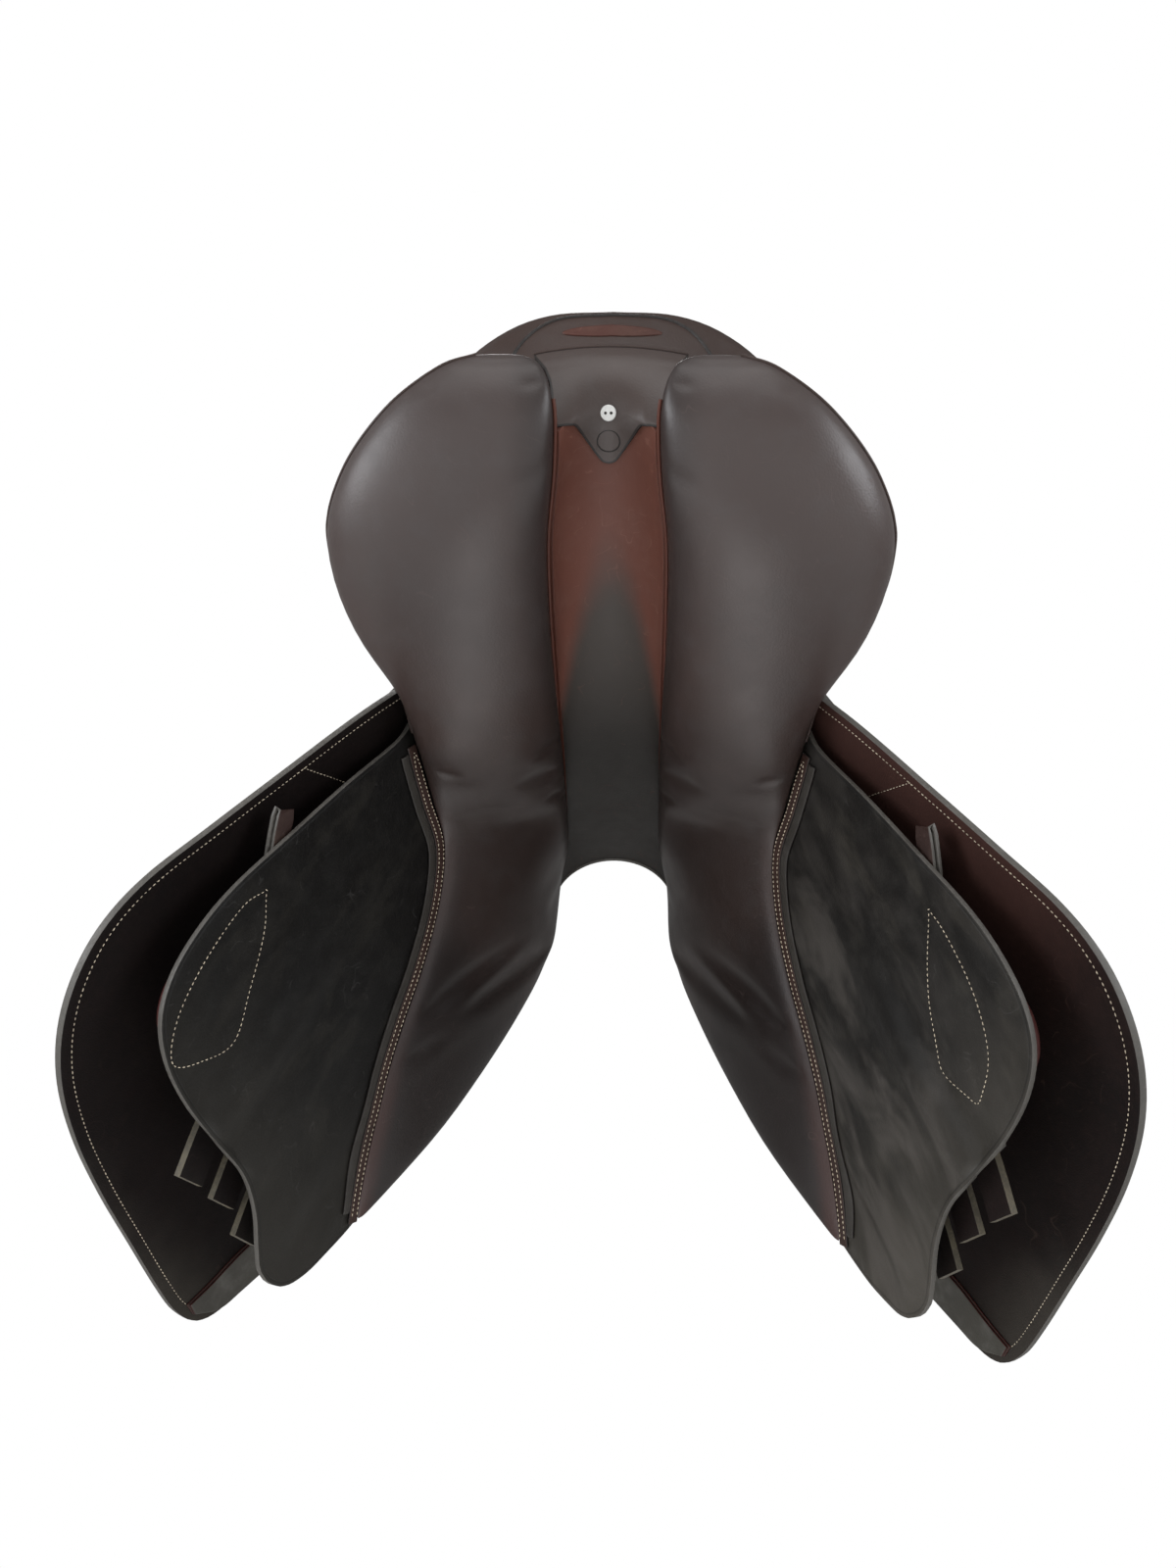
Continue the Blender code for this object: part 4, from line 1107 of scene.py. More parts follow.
class Repeat(Graph):
    """Geometry Nodes tree with named inputs."""

    def __init__(self, name: str, inputs: dict[str, tuple[str, Any]]) -> None:
        """Start the tree.

        Args:
            name: Name of the tree.
            inputs: Socket type and first value of each input by name.
        """
        super().__init__(bpy.data.node_groups.new(name, "GeometryNodeTree"))
        face = self.tree.interface
        face.new_socket("Line", in_out="INPUT", socket_type="NodeSocketGeometry")
        face.new_socket("Shape", in_out="OUTPUT", socket_type="NodeSocketGeometry")
        for key, (kind, value) in inputs.items():
            face.new_socket(key, in_out="INPUT", socket_type=kind).default_value = value
        face.new_socket("Finish", in_out="INPUT", socket_type="NodeSocketMaterial")
        self.given = self.node("NodeGroupInput")

    def close(self, shape: Wire) -> None:
        """Make the shape real and smooth, give it its finish and join it to the output.

        Args:
            shape: The shape.
        """
        real = self.node("GeometryNodeRealizeInstances", {0: shape})
        smooth = self.node("GeometryNodeSetShadeSmooth", {0: real})
        dyed = self.node("GeometryNodeSetMaterial",
                         {0: smooth, "Material": self.given.of("Finish")})
        self.node("NodeGroupOutput", {0: dyed})

    def grow(self, obj: Piece, values: dict[str, Any]) -> Piece:
        """Run the tree on an object and keep the plain mesh.

        Args:
            obj: The object that carries the line.
            values: Inputs by name.

        Returns:
            The same object, with the result as its mesh.
        """
        mod = modify(obj, "NODES", node_group=self.tree)
        for item in self.tree.interface.items_tree:
            if item.item_type == "SOCKET" and item.in_out == "INPUT" and item.name in values:
                mod[item.identifier] = values[item.name]
        return baked(obj)


class StitchRow(Repeat):
    """Stitches lying along a line, each a short rounded bar of thread."""

    def __init__(self) -> None:
        """Write the tree."""
        number = "NodeSocketFloat"
        super().__init__("Stitch row", {"Pitch": (number, 0.0028), "Length": (number, 0.0022),
                                        "Width": (number, 0.0008), "Seed": ("NodeSocketInt", 3)})
        pitch, length, width, seed = (self.given.of(key)
                                      for key in ("Pitch", "Length", "Width", "Seed"))
        curve = self.node("GeometryNodeMeshToCurve", {0: self.given.of("Line")})
        spaced = self.node("GeometryNodeResampleCurve", {"Curve": curve, "Length": pitch},
                           mode="LENGTH")
        up = self.node("GeometryNodeInputNamedAttribute", {"Name": "up"},
                       data_type="FLOAT_VECTOR")
        turn = self.node("FunctionNodeAxesToRotation",
                         {0: up, 1: self.node("GeometryNodeInputTangent")},
                         primary_axis="Z", secondary_axis="X")
        bead = self.node("GeometryNodeMeshUVSphere", {"Segments": 6, "Rings": 5, "Radius": 0.5})
        size = self.node("ShaderNodeCombineXYZ", {0: length, 1: width, 2: width})
        jitter = self.node("FunctionNodeRandomValue", {"Min": 0.86, "Max": 1.1, "Seed": seed},
                           data_type="FLOAT").of(1)
        scale = self.node("ShaderNodeVectorMath", {0: size, "Scale": jitter}, operation="SCALE")
        self.close(self.node("GeometryNodeInstanceOnPoints",
                             {"Points": spaced, "Instance": bead, "Rotation": turn,
                              "Scale": scale}))


class Cording(Repeat):
    """Round cord of leather that follows a line."""

    def __init__(self) -> None:
        """Write the tree."""
        super().__init__("Cording", {"Radius": ("NodeSocketFloat", 0.0012),
                                     "Sides": ("NodeSocketInt", 10)})
        curve = self.node("GeometryNodeMeshToCurve", {0: self.given.of("Line")})
        ring = self.node("GeometryNodeCurvePrimitiveCircle",
                         {"Resolution": self.given.of("Sides"), "Radius": self.given.of("Radius")})
        self.close(self.node("GeometryNodeCurveToMesh",
                             {"Curve": curve, "Profile Curve": ring, "Fill Caps": True}))


class Workshop:
    """Finishes and repeated shapes shared by the sub-assemblies, and the placing of pieces."""

    pitch: float = 0.0033

    def __init__(self) -> None:
        """Write every finish and tree once."""
        pale = (0.070, 0.062, 0.060)
        grey = ((0.064, 0.046, 0.041), (0.040, 0.028, 0.025), (0.095, 0.088, 0.086))
        matt = {"coat": 0.0, "shine": 0.3}
        self.panel = PanelLeather(
            "panel_leather", (0.056, 0.036, 0.031), (0.038, 0.024, 0.021), pale,
            roughness=0.40, haze=0.25, scuffs=0.06, coat=0.04, shine=0.45).build()
        self.seat = Leather(
            "seat_leather", (0.048, 0.029, 0.024), (0.030, 0.019, 0.016), pale,
            roughness=0.42, haze=0.2, scuffs=0.08, coat=0.03, shine=0.35).build()
        self.sweat = SweatLeather(
            "sweat_leather", (0.0115, 0.0102, 0.0092), (0.0050, 0.0046, 0.0043),
            (0.036, 0.033, 0.029), roughness=0.44, scuffs=0.12, edged=True, coat=0.02,
            shine=0.25).build()
        self.flap = Leather(
            "flap_leather", (0.034, 0.018, 0.014), (0.020, 0.011, 0.009), pale,
            roughness=0.45, scuffs=0.12, edged=True, coat=0.03, shine=0.35).build()
        self.flesh = FleshLeather(
            "flap_flesh", (0.019, 0.0085, 0.0068), (0.0050, 0.0030, 0.0027),
            (0.034, 0.016, 0.012), roughness=0.78, grain=900, depth=0.00015, mottle=0.8,
            coat=0.0, shine=0.15).build()
        self.lining = LiningLeather(
            "lining_leather", (0.160, 0.064, 0.047), (0.100, 0.040, 0.030),
            (0.20, 0.105, 0.082), roughness=0.50, scuffs=0.05, coat=0.0, shine=0.25).build()
        self.strip = Leather(
            "strip_leather", (0.036, 0.019, 0.015), (0.020, 0.011, 0.009),
            (0.070, 0.034, 0.026), roughness=0.5, **matt).build()
        self.lap = Leather(
            "lap_leather", (0.034, 0.030, 0.026), (0.018, 0.016, 0.014),
            (0.070, 0.064, 0.058), roughness=0.45, scuffs=0.1, **matt).build()
        self.olive = Leather(
            "olive_leather", (0.040, 0.036, 0.027), (0.016, 0.014, 0.011),
            (0.110, 0.105, 0.095), roughness=0.4, haze=0.5, scuffs=0.1).build()
        self.badge = Leather(
            "badge_leather", (0.080, 0.026, 0.018), (0.036, 0.020, 0.016),
            (0.12, 0.06, 0.045), roughness=0.55, haze=0.4, scuffs=0.3, **matt).build()
        self.welt = Leather(
            "welt_leather", (0.100, 0.032, 0.021), (0.044, 0.016, 0.012),
            (0.14, 0.065, 0.045), roughness=0.48, **matt).build()
        self.trim = Leather("trim_leather", *grey, roughness=0.42, scuffs=0.05, mottle=0.35,
                            coat=0.04, shine=0.45, rim=2.15).build()
        self.fitting = Leather("fitting_leather", *grey, roughness=0.42).build()
        self.keeper = Leather(
            "keeper_leather", (0.034, 0.018, 0.015), (0.014, 0.008, 0.007),
            (0.12, 0.08, 0.06), roughness=0.5, scuffs=0.2, shine=0.3).build()
        self.block = Leather(
            "block_leather", (0.070, 0.016, 0.014), (0.034, 0.009, 0.008),
            (0.10, 0.045, 0.038), roughness=0.55, **matt).build()
        self.pad = Leather(
            "knee_pad_leather", (0.044, 0.024, 0.019), (0.028, 0.016, 0.013), pale,
            roughness=0.5, grain=420, depth=0.00012, shine=0.35).build()
        self.strap = Leather(
            "strap_leather", (0.038, 0.029, 0.020), (0.017, 0.013, 0.009),
            (0.075, 0.062, 0.044), roughness=0.58, haze=0.5, scuffs=0.3, **matt).build()
        self.dyed = CutEdge("dyed_edge", (0.075, 0.069, 0.061), (0.150, 0.140, 0.125),
                            0.35).build()
        self.dark_edge = CutEdge("dark_edge", (0.012, 0.009, 0.008), (0.030, 0.020, 0.016),
                                 0.3).build()
        self.strap_edge = CutEdge("strap_edge", (0.085, 0.075, 0.056), (0.200, 0.170, 0.110),
                                  0.6).build()
        self.thread = Thread("cream_thread", (0.62, 0.53, 0.40)).build()
        self.dull_thread = Thread("brown_thread", (0.22, 0.15, 0.10)).build()
        self.steel = Metal("tree_steel", (0.50, 0.50, 0.50), 0.36, 0.4).build()
        self.nickel = Metal("nickel_plate", (0.72, 0.70, 0.66), 0.20).build()
        self.brass = Metal("brass_nail", (0.72, 0.53, 0.24), 0.25).build()
        self.button = Plain("white_button", (0.86, 0.86, 0.84), (0.70, 0.70, 0.68), 0.22,
                            (90.0, 90.0, 90.0), 0.00002).build()
        self.wood = Plain("tree_wood", (0.044, 0.027, 0.019), (0.024, 0.015, 0.011), 0.6,
                          (14.0, 160.0, 260.0), 0.0002).build()
        self.web = Plain("linen_web", (0.066, 0.054, 0.041), (0.034, 0.028, 0.021), 0.85,
                         (120.0, 120.0, 120.0), 0.0004, weave=380.0).build()
        self.foam = Plain("seat_foam", (0.16, 0.14, 0.11), (0.10, 0.085, 0.065), 0.9,
                          (400.0, 400.0, 400.0), 0.0003).build()
        self.stitches = StitchRow()
        self.cording = Cording()

    def keep(self, obj: Piece, body: str, slot: str, *nodes: str, side: Side = Side.LEFT) -> None:
        """Turn a finished piece to its side and place it on its body.

        Args:
            obj: The piece, in place on the left or in the middle.
            body: Name of the body it rides on.
            slot: Material slot of the record; not used.
            nodes: CAD nodes that it stands for.
            side: Side of the horse that it belongs to.
        """
        if side is Side.RIGHT:
            obj.data.transform(Matrix.Scale(-1, 4, (0, 1, 0)))
            obj.data.flip_normals()
        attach(obj, body)
        if nodes:
            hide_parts(*nodes)
        LOG.info("%s rides on %s, %d faces", obj.name, body, len(obj.data.polygons))

    def line(self, name: str, points: np.ndarray, closed: bool,
             up: np.ndarray | None = None) -> Piece:
        """Object that carries a line, and the direction that its stitches stand in.

        Args:
            name: Name of the piece.
            points: The line.
            closed: Whether the line closes on itself.
            up: Outward direction at each point.

        Returns:
            The new object.
        """
        count = len(points)
        edges = [(i, i + 1) for i in range(count - 1)] + ([(count - 1, 0)] if closed else [])
        mesh = bpy.data.meshes.new(name)
        mesh.from_pydata([tuple(p) for p in points], edges, [])
        if up is not None:
            data = mesh.attributes.new("up", "FLOAT_VECTOR", "POINT").data
            data.foreach_set("vector", np.asarray(up, np.float32).reshape(-1))
        return placed(name, mesh)

    def sew(self, name: str, points: np.ndarray, up: np.ndarray, side: Side, body: str,
            thread: Finish | None = None, closed: bool = False, width: float = 0.00062,
            seed: int = 3) -> None:
        """Row of stitches along a line on a surface.

        Args:
            name: Name of the piece, without its side.
            points: The line, on the left side.
            up: Outward direction at each point.
            side: Side of the horse.
            body: Body that the row rides on.
            thread: Material of the thread.
            closed: Whether the line closes on itself.
            width: Thickness of the thread.
            seed: Number that fixes the small differences.
        """
        obj = self.line(name + side.tag, points, closed, up)
        self.stitches.grow(obj, {"Pitch": self.pitch, "Length": self.pitch * 0.66, "Width": width,
                                 "Seed": seed, "Finish": thread or self.thread})
        self.keep(obj, body, "lining_leather", side=side)

    def sew_surface(self, name: str, xz: np.ndarray, surface: Surface, lift: float, side: Side,
                    body: str = "saddle", **options: Any) -> None:
        """Row of stitches along (x, z) points on a side surface.

        Args:
            name: Name of the piece, without its side.
            xz: The line, on the left side.
            surface: Middle of the leather that is sewn.
            lift: Half the leather's thickness, below nought for the face towards the horse.
            side: Side of the horse.
            body: Body that the row rides on.
            options: What sew takes besides.
        """
        face = math.copysign(1.0, lift)
        points = laid(xz, shifted(surface, lift + face * THREAD_LIFT))
        dx, dz = slopes(surface, xz[:, 0], xz[:, 1])
        up = np.stack([-dx, np.ones_like(dx), -dz], -1)
        self.sew(name, points, up / lengths(up) * face, side, body, **options)

    def pipe(self, name: str, points: np.ndarray, radius: float, finish: Finish, slot: str,
             side: Side = Side.LEFT, body: str = "saddle", closed: bool = False) -> None:
        """Round cord of leather along a line.

        Args:
            name: Name of the piece, without its side.
            points: The line, on the left side.
            radius: Half the cord's thickness.
            finish: Its material.
            slot: Material slot of the record.
            side: Side of the horse, which a cord in the middle counts as left.
            body: Body that the cord rides on.
            closed: Whether the line closes on itself.
        """
        obj = self.line(name + side.tag, points, closed)
        self.cording.grow(obj, {"Radius": radius, "Sides": 10, "Finish": finish})
        self.keep(obj, body, slot, side=side)


# Sub-assemblies

@dataclass
class SubAssembly:
    """Part of the saddle, made with the workshop's finishes and repeated shapes."""

    shop: Workshop

    def recut(self, node: str, name: str, side: Side, finishes: Sequence[Finish], width: float,
              slot: str) -> None:
        """Put a copy of a side's CAD node, with finishes and rounded edges, in its place."""
        piece = from_node(node + side.tag, name + side.tag, finishes, width)
        self.shop.keep(piece, frame["nodes"][node + side.tag]["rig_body"], slot, node + side.tag)


@dataclass
class Panels(SubAssembly):
    """Flocked panels with their cording."""

    half_spread: float = 0.175
    depth: float = 0.036
    slab: float = 0.017
    rings: int = 104
    under: int = 26
    over: int = 15
    growth: float = 0.004
    cap: float = 0.0040
    frames: int = 18
    bed: float = 0.00255
    fill: float = 0.85

    cloth: ClassVar[dict[str, Any]] = {
        "quality": 5, "mass": 0.4, "tension_stiffness": 30, "compression_stiffness": 30,
        "bending_stiffness": 12.0, "use_pressure": True, "uniform_pressure_force": 4.0}
    inner: ClassVar[np.ndarray] = cm([
        (-26.5, 4.9, 8.0), (-26.1, 3.75, 7.4), (-24.5, 3.1, 6.1), (-21.0, 3.2, 4.9),
        (-16.5, 3.7, 4.0), (-11.5, 3.8, 3.4), (-6.5, 3.8, 3.3), (-1.5, 3.8, 3.4), (3.5, 3.8, 3.8),
        (8.5, 3.9, 4.4), (13.0, 4.0, 5.0), (17.0, 4.2, 5.5), (20.2, 4.9, 4.0), (21.8, 6.0, 0.2),
        (22.5, 7.0, -4.5), (22.2, 9.0, -9.8), (21.2, 11.5, -15.2), (20.2, 14.0, -20.0),
        (18.9, 16.6, -25.2)])
    outer: ClassVar[np.ndarray] = cm([
        (-26.5, 7.4, 8.0), (-26.0, 9.6, 7.4), (-24.0, 12.8, 6.3), (-20.5, 15.8, 5.1),
        (-16.3, 17.3, 4.0), (-11.0, 16.5, 2.6), (-6.6, 14.1, 0.9), (-3.0, 13.1, -0.9),
        (1.0, 12.2, -2.3), (5.0, 11.3, -3.6), (8.0, 11.0, -6.6), (10.2, 12.0, -10.4),
        (11.8, 13.5, -14.2), (13.2, 14.5, -17.2), (14.6, 15.2, -19.6), (15.8, 15.8, -21.8),
        (16.9, 16.2, -23.6), (17.8, 16.6, -25.0), (18.5, 16.8, -26.0)])

    def shape(self) -> np.ndarray:
        """Rings of the left panel: a crowned cushion behind, a padded slab in front.

        Returns:
            Array of rings by points by three.
        """
        outer = self.outer.copy()
        widest = outer[np.argmax(outer[:, 1])]
        outer[:, 1] += (self.half_spread - widest[1]) * np.clip(outer[:, 0] / widest[0], 0, 1)
        stations = np.linspace(0, 1, len(self.inner))
        stops = [0, 0.06, 0.12, 0.17, 0.23, 0.33, 0.45, 0.60, 1.0]
        swell = np.interp(stations, stops, [0.08, 0.3, 0.62, 0.86, 1.0, 0.92, 0.66, 0.5, 0.45])
        lift = np.interp(stations, stops,
                         [0.002, 0.008, 0.015, 0.022, 0.029, 0.027, 0.018, 0.008, 0.002])
        turn_in = np.interp(stations, [0.60, 0.76], [0.0, 1.0])
        turn_out = np.interp(stations, [0.38, 0.50], [0.0, 1.0])
        data = spline(np.column_stack([self.inner, outer, swell, lift, turn_in, turn_out]),
                      self.rings)
        face = shifted(sweat_surface, -self.bed)
        rings = []
        for row in data:
            a, b, depth, rise = row[:3], row[3:6], row[6] * self.depth, row[7]
            t_in, t_out = np.clip(row[8:], 0, 1)
            w = (t_in + t_out) / 2
            slab = self.slab * min(1.0, np.linalg.norm(b - a) / 0.10)
            down = np.array([0, -w, -1 + 0.6 * w])
            chord = unit(b - a)
            down = unit(down - chord * down.dot(chord))
            ring = []
            for below, steps in ((True, self.under), (False, self.over)):
                phi = np.linspace(0, math.pi, steps + 1)[:-1]
                s = (1 - np.cos(phi)) / 2
                bulge = np.sin(phi) ** np.where(s < 0.5, 0.8, 0.8 + 0.35 * w)
                if not below:
                    s = 1 - s
                    bulge = np.sin(phi) ** 0.9
                base = a + s[:, None] * (b - a)
                pillow = base + bulge[:, None] * down * (depth if below else -rise)
                flat = laid(base[:, [0, 2]], face)
                if below:
                    flat[:, 1] -= bulge * slab
                lean = (t_in * (1 - s) + t_out * s)[:, None]
                mixed = pillow * (1 - lean) + flat * lean
                if a[0] > -0.02:
                    mixed[:, 1] = np.minimum(mixed[:, 1], face(mixed[:, 0], mixed[:, 2]) - 0.0006)
                ring.extend(mixed)
            rings.append(ring)
        return np.array(rings)

    def stuff(self, obj: Piece, free: np.ndarray) -> None:
        """Let the leather swell under its flock as cloth, held at its seams.

        Args:
            obj: The panel's object.
            free: How far each point may move, from nought at a seam to one.
        """
        count = len(obj.data.vertices)
        rest = np.empty(count * 3)
        obj.data.vertices.foreach_get("co", rest)
        group = obj.vertex_groups.new(name="held")
        for i in range(count):
            group.add([i], float(1 - free[i]), "REPLACE")
        mod = modify(obj, "CLOTH")
        for key, value in self.cloth.items():
            setattr(mod.settings, key, value)
        mod.settings.shrink_min = -self.growth
        mod.settings.vertex_group_mass = group.name
        mod.settings.effector_weights.gravity = 0.0
        mod.point_cache.frame_start, mod.point_cache.frame_end = 1, self.frames + 2
        for step in range(self.frames):
            bpy.context.scene.frame_set(1 + step)
        depsgraph = bpy.context.evaluated_depsgraph_get()
        moved = np.empty(count * 3)
        obj.evaluated_get(depsgraph).data.vertices.foreach_get("co", moved)
        obj.modifiers.clear()
        obj.vertex_groups.clear()
        bpy.context.scene.frame_set(1)
        shift = (moved - rest).reshape(-1, 3)
        shift *= free[:, None] * np.minimum(1.0, self.cap / np.maximum(lengths(shift), TINY))
        obj.data.vertices.foreach_set("co", (rest.reshape(-1, 3) + shift).reshape(-1))
        obj.data.update()
        LOG.info("%s: leather moved %.1f mm at most", obj.name, MM_PER_M * np.abs(shift).max())

    def dress(self) -> None:
        """Make both panels with their cording."""
        rings = self.shape()
        count, size = rings.shape[:2]
        place = np.arange(size)
        below = np.clip(np.sin(place / self.under * math.pi), 0, 1) * (place <= self.under)
        ends = ease(np.arange(count), 0, 9) * (1 - ease(np.arange(count), count - 16, count - 2))
        free = (ends[:, None] * np.clip(below * 1.5, 0, 1)[None, :]).reshape(-1)
        seam = spline(rings[:, self.under], 260)
        channel = spline(rings[:, 0], 260)
        for side in Side:
            obj = capped("panel_hide" + side.tag, rings, self.shop.panel)
            self.stuff(obj, free)
            modify(obj, "SUBSURF", levels=1, render_levels=1)
            baked(obj)
            mark_edges(obj, seam, "seam_mm")
            self.shop.keep(obj, "saddle", "panel_leather", "panel" + side.tag, side=side)
            rear = seam[seam[:, 0] < -0.035] + [0, 0, 0.0009]
            self.shop.pipe("panel_cording", rear, 0.0010, self.shop.seat, "panel_leather", side)
            x, z = channel[:, 0], channel[:, 2]
            inner = channel[(x > -0.250) & (x < 0.175) & (z > 0.03)] + [0, -0.0008, -0.0012]
            self.shop.pipe("channel_cording", inner, 0.0011, self.shop.welt, "welt_leather", side)


@dataclass
class Channel(SubAssembly):
    """Leather roof of the channel, the rear tongue and its button."""

    lining: float = 0.0025
    tongue: float = 0.0030
    half_tongue: float = 0.031
    button: float = 0.0047
    ring: float = 0.0068
    rows: int = 84
    cols: int = 61

    roof: ClassVar[np.ndarray] = cm([
        (-24.6, 8.3), (-18.0, 7.2), (-10.0, 5.7), (-2.0, 4.9), (6.0, 5.0), (12.0, 5.7),
        (17.0, 6.7), (20.9, 7.5)])
    flare: ClassVar[Outline] = (
        (0.0, 0.06, 0.12, 0.20, 0.30, 0.42, 0.50, 0.565, 0.62),
        (0.0465, 0.0455, 0.0430, 0.0390, 0.0355, 0.0335, 0.0325, 0.0315, 0.0310))
    foot: ClassVar[Outline] = (
        (0.0, 0.985), (0.0040, 0.968), (0.0082, 0.898), (0.0120, 0.815), (0.0155, 0.733),
        (0.0180, 0.668), (0.0202, 0.628), (0.0240, 0.612), (0.0310, 0.604))

    def edge(self, x: Any) -> tuple[Any, Any]:
        """Sideways place and height of the panel's inner edge at x."""
        line = spline(Panels.inner[2:15], 160)
        return np.interp(x, line[:, 0], line[:, 1]), np.interp(x, line[:, 0], line[:, 2])

    def height(self, x: Any, y: Any) -> Any:
        """Height of the arched roof above a point between the panels.

        Args:
            x: Places along the horse.
            y: Places across the horse.

        Returns:
            The height at each place.
        """
        half, foot = self.edge(x)
        top = along(self.roof, x)
        return foot + (top - foot) * np.sqrt(np.maximum(1 - (y / (half - self.lining / 2)) ** 2, 0))

    def dress_lining(self) -> None:
        """Arched lining, with a folded front edge."""
        t = np.linspace(-1, 1, 41)
        rows = []
        for x in np.linspace(-0.2285, 0.211, 110):
            y = (self.edge(x)[0] - 0.0006 - self.lining / 2) * np.sin(t * math.pi / 2)
            rows.append(np.stack([np.full_like(y, x), y, self.height(x, y)], 1))
        grid = np.array(rows)
        obj = leather_sheet("channel_hide", grid, self.lining,
                            [self.shop.lining, self.shop.lining, self.shop.welt],
                            toward=(0, 0, -1), edge=0.0006)
        self.shop.keep(obj, "saddle", "lining_leather", "channel_lining")
        front = grid[-1] + [0.0006, 0, -0.0006]
        self.shop.pipe("arch_binding", front, 0.0019, self.shop.dyed, "lining_leather")

    def arch(self, at: np.ndarray, y: np.ndarray) -> np.ndarray:
        """How far the tongue hangs below its middle line at each sideways place."""
        bent = np.minimum(np.abs(y), 0.022)
        return self.height(at, 0.0 * y) - self.height(at, bent) + 0.40 * (np.abs(y) - bent)

    def tongue_grid(self) -> tuple[np.ndarray, np.ndarray]:
        """Points of the tongue's middle surface and the line down its middle.

        Returns:
            The grid, whose columns end on the outline of the foot, and the (x, z) points of
            the middle line.
        """
        drop = (self.lining + self.tongue) / 2 + 0.0012
        bend = cm([(-24.95, 11.5), (-24.9, 10.4), (-24.5, 9.3), (-23.8, 8.35)])
        below = [(x, along(self.roof, x) - drop) for x in cm([-22.8, -21.6, -20.4, -19.8])]
        path = spline(np.concatenate([bend, below]), 400)
        run = np.linspace(0, 1, len(path))
        t = np.linspace(-1, 1, self.cols)
        foot = spline(np.array(self.foot), 200)
        ends = np.interp(np.abs(t) * self.half_tongue, foot[:, 0], foot[:, 1])
        share = np.linspace(0, 1, self.rows)[:, None] * ends[None, :]
        x, z = (np.interp(share, run, path[:, k]) for k in (0, 1))
        y = t[None, :] * np.interp(share, self.flare[0], self.flare[1])
        flat = np.interp(x, cm([-24.8, -23.0]), [0.0, 1.0])
        z = z - flat * self.arch(np.maximum(x, -0.23), y)
        x = x + (1 - flat) * 0.0020 * (y / 0.0285) ** 2
        return np.stack([x, y, z], -1), path

    def dress_tongue(self) -> None:
        """Tongue with a dyed edge, a pressed ring and a button."""
        grid, path = self.tongue_grid()
        obj = leather_sheet("rear_tongue_hide", grid, self.tongue,
                            [self.shop.trim, self.shop.trim, self.shop.dark_edge],
                            toward=(-1, 0, -1), edge=0.0007)
        self.shop.keep(obj, "saddle", "trim_leather", "rear_tongue")
        top = grid[0] + [-0.0012, 0, 0.0004]
        self.shop.pipe("tongue_cording", top, 0.0012, self.shop.seat, "seat_leather")
        middle = int(np.argmin(np.abs(path[:, 0] + 0.230)))
        slope = unit(path[middle + 1] - path[middle - 1])
        out = np.array([slope[1], 0, -slope[0]])
        out = out if out[2] < 0 else -out
        start = np.array([path[middle, 0], 0, path[middle, 1]]) + out * (self.tongue / 2 + 0.0001)
        self.dress_button(start, out)
        self.press_ring(grid)

    def press_ring(self, grid: np.ndarray) -> None:
        """Thin pressed ring near the tip of the tongue.

        Args:
            grid: Grid of the tongue's middle surface.
        """
        middle, row = grid[:, self.cols // 2], int(self.rows * 0.80)
        forward = unit(middle[row + 1] - middle[row - 1])
        out = unit(np.cross(forward, ACROSS))
        out = out if out[2] < 0 else -out
        angle = np.linspace(0, TURN, 49)[:-1, None]
        ring = middle[row] + out * (self.tongue / 2 - 0.0001) + self.ring * (
            np.cos(angle) * forward + np.sin(angle) * ACROSS)
        ring[:, 2] -= self.arch(ring[:, 0], ring[:, 1])
        self.shop.pipe("pressed_ring", ring, 0.00045, self.shop.dark_edge, "trim_leather",
                       closed=True)

    def dress_button(self, start: np.ndarray, out: np.ndarray) -> None:
        """White button with a raised rim and two holes.

        Args:
            start: Foot of the button.
            out: Direction that the button looks in.
        """
        r = self.button
        profile = [(r * 0.86, 0.0), (r, 0.0005), (r, 0.0012), (r * 0.93, 0.0018),
                   (r * 0.82, 0.0020), (r * 0.72, 0.0017), (r * 0.60, 0.0014), (r * 0.05, 0.0014)]
        obj = lathe("button_cap", profile, start, out, self.shop.button, 40)
        hole = r * 0.19
        for sign, end in ((-1, "_far"), (1, "_near")):
            at = start + ACROSS * sign * r * 0.36
            cut_out(obj, lathe("hole_cutter", [(hole, -0.004), (hole, 0.004)], at, out,
                               self.shop.dark_edge, 20))
            plug = lathe("button_hole" + end, [(hole, 0.0), (hole, 0.0005), (r * 0.05, 0.0006)],
                         at, out, self.shop.dark_edge, 20)
            self.shop.keep(plug, "saddle", "trim_leather")
        obj.data.set_sharp_from_angle(angle=math.radians(40))
        self.shop.keep(obj, "saddle", "white_button", "tongue_button")

    def dress(self) -> None:
        """Make the channel's pieces."""
        self.dress_lining()
        self.dress_tongue()


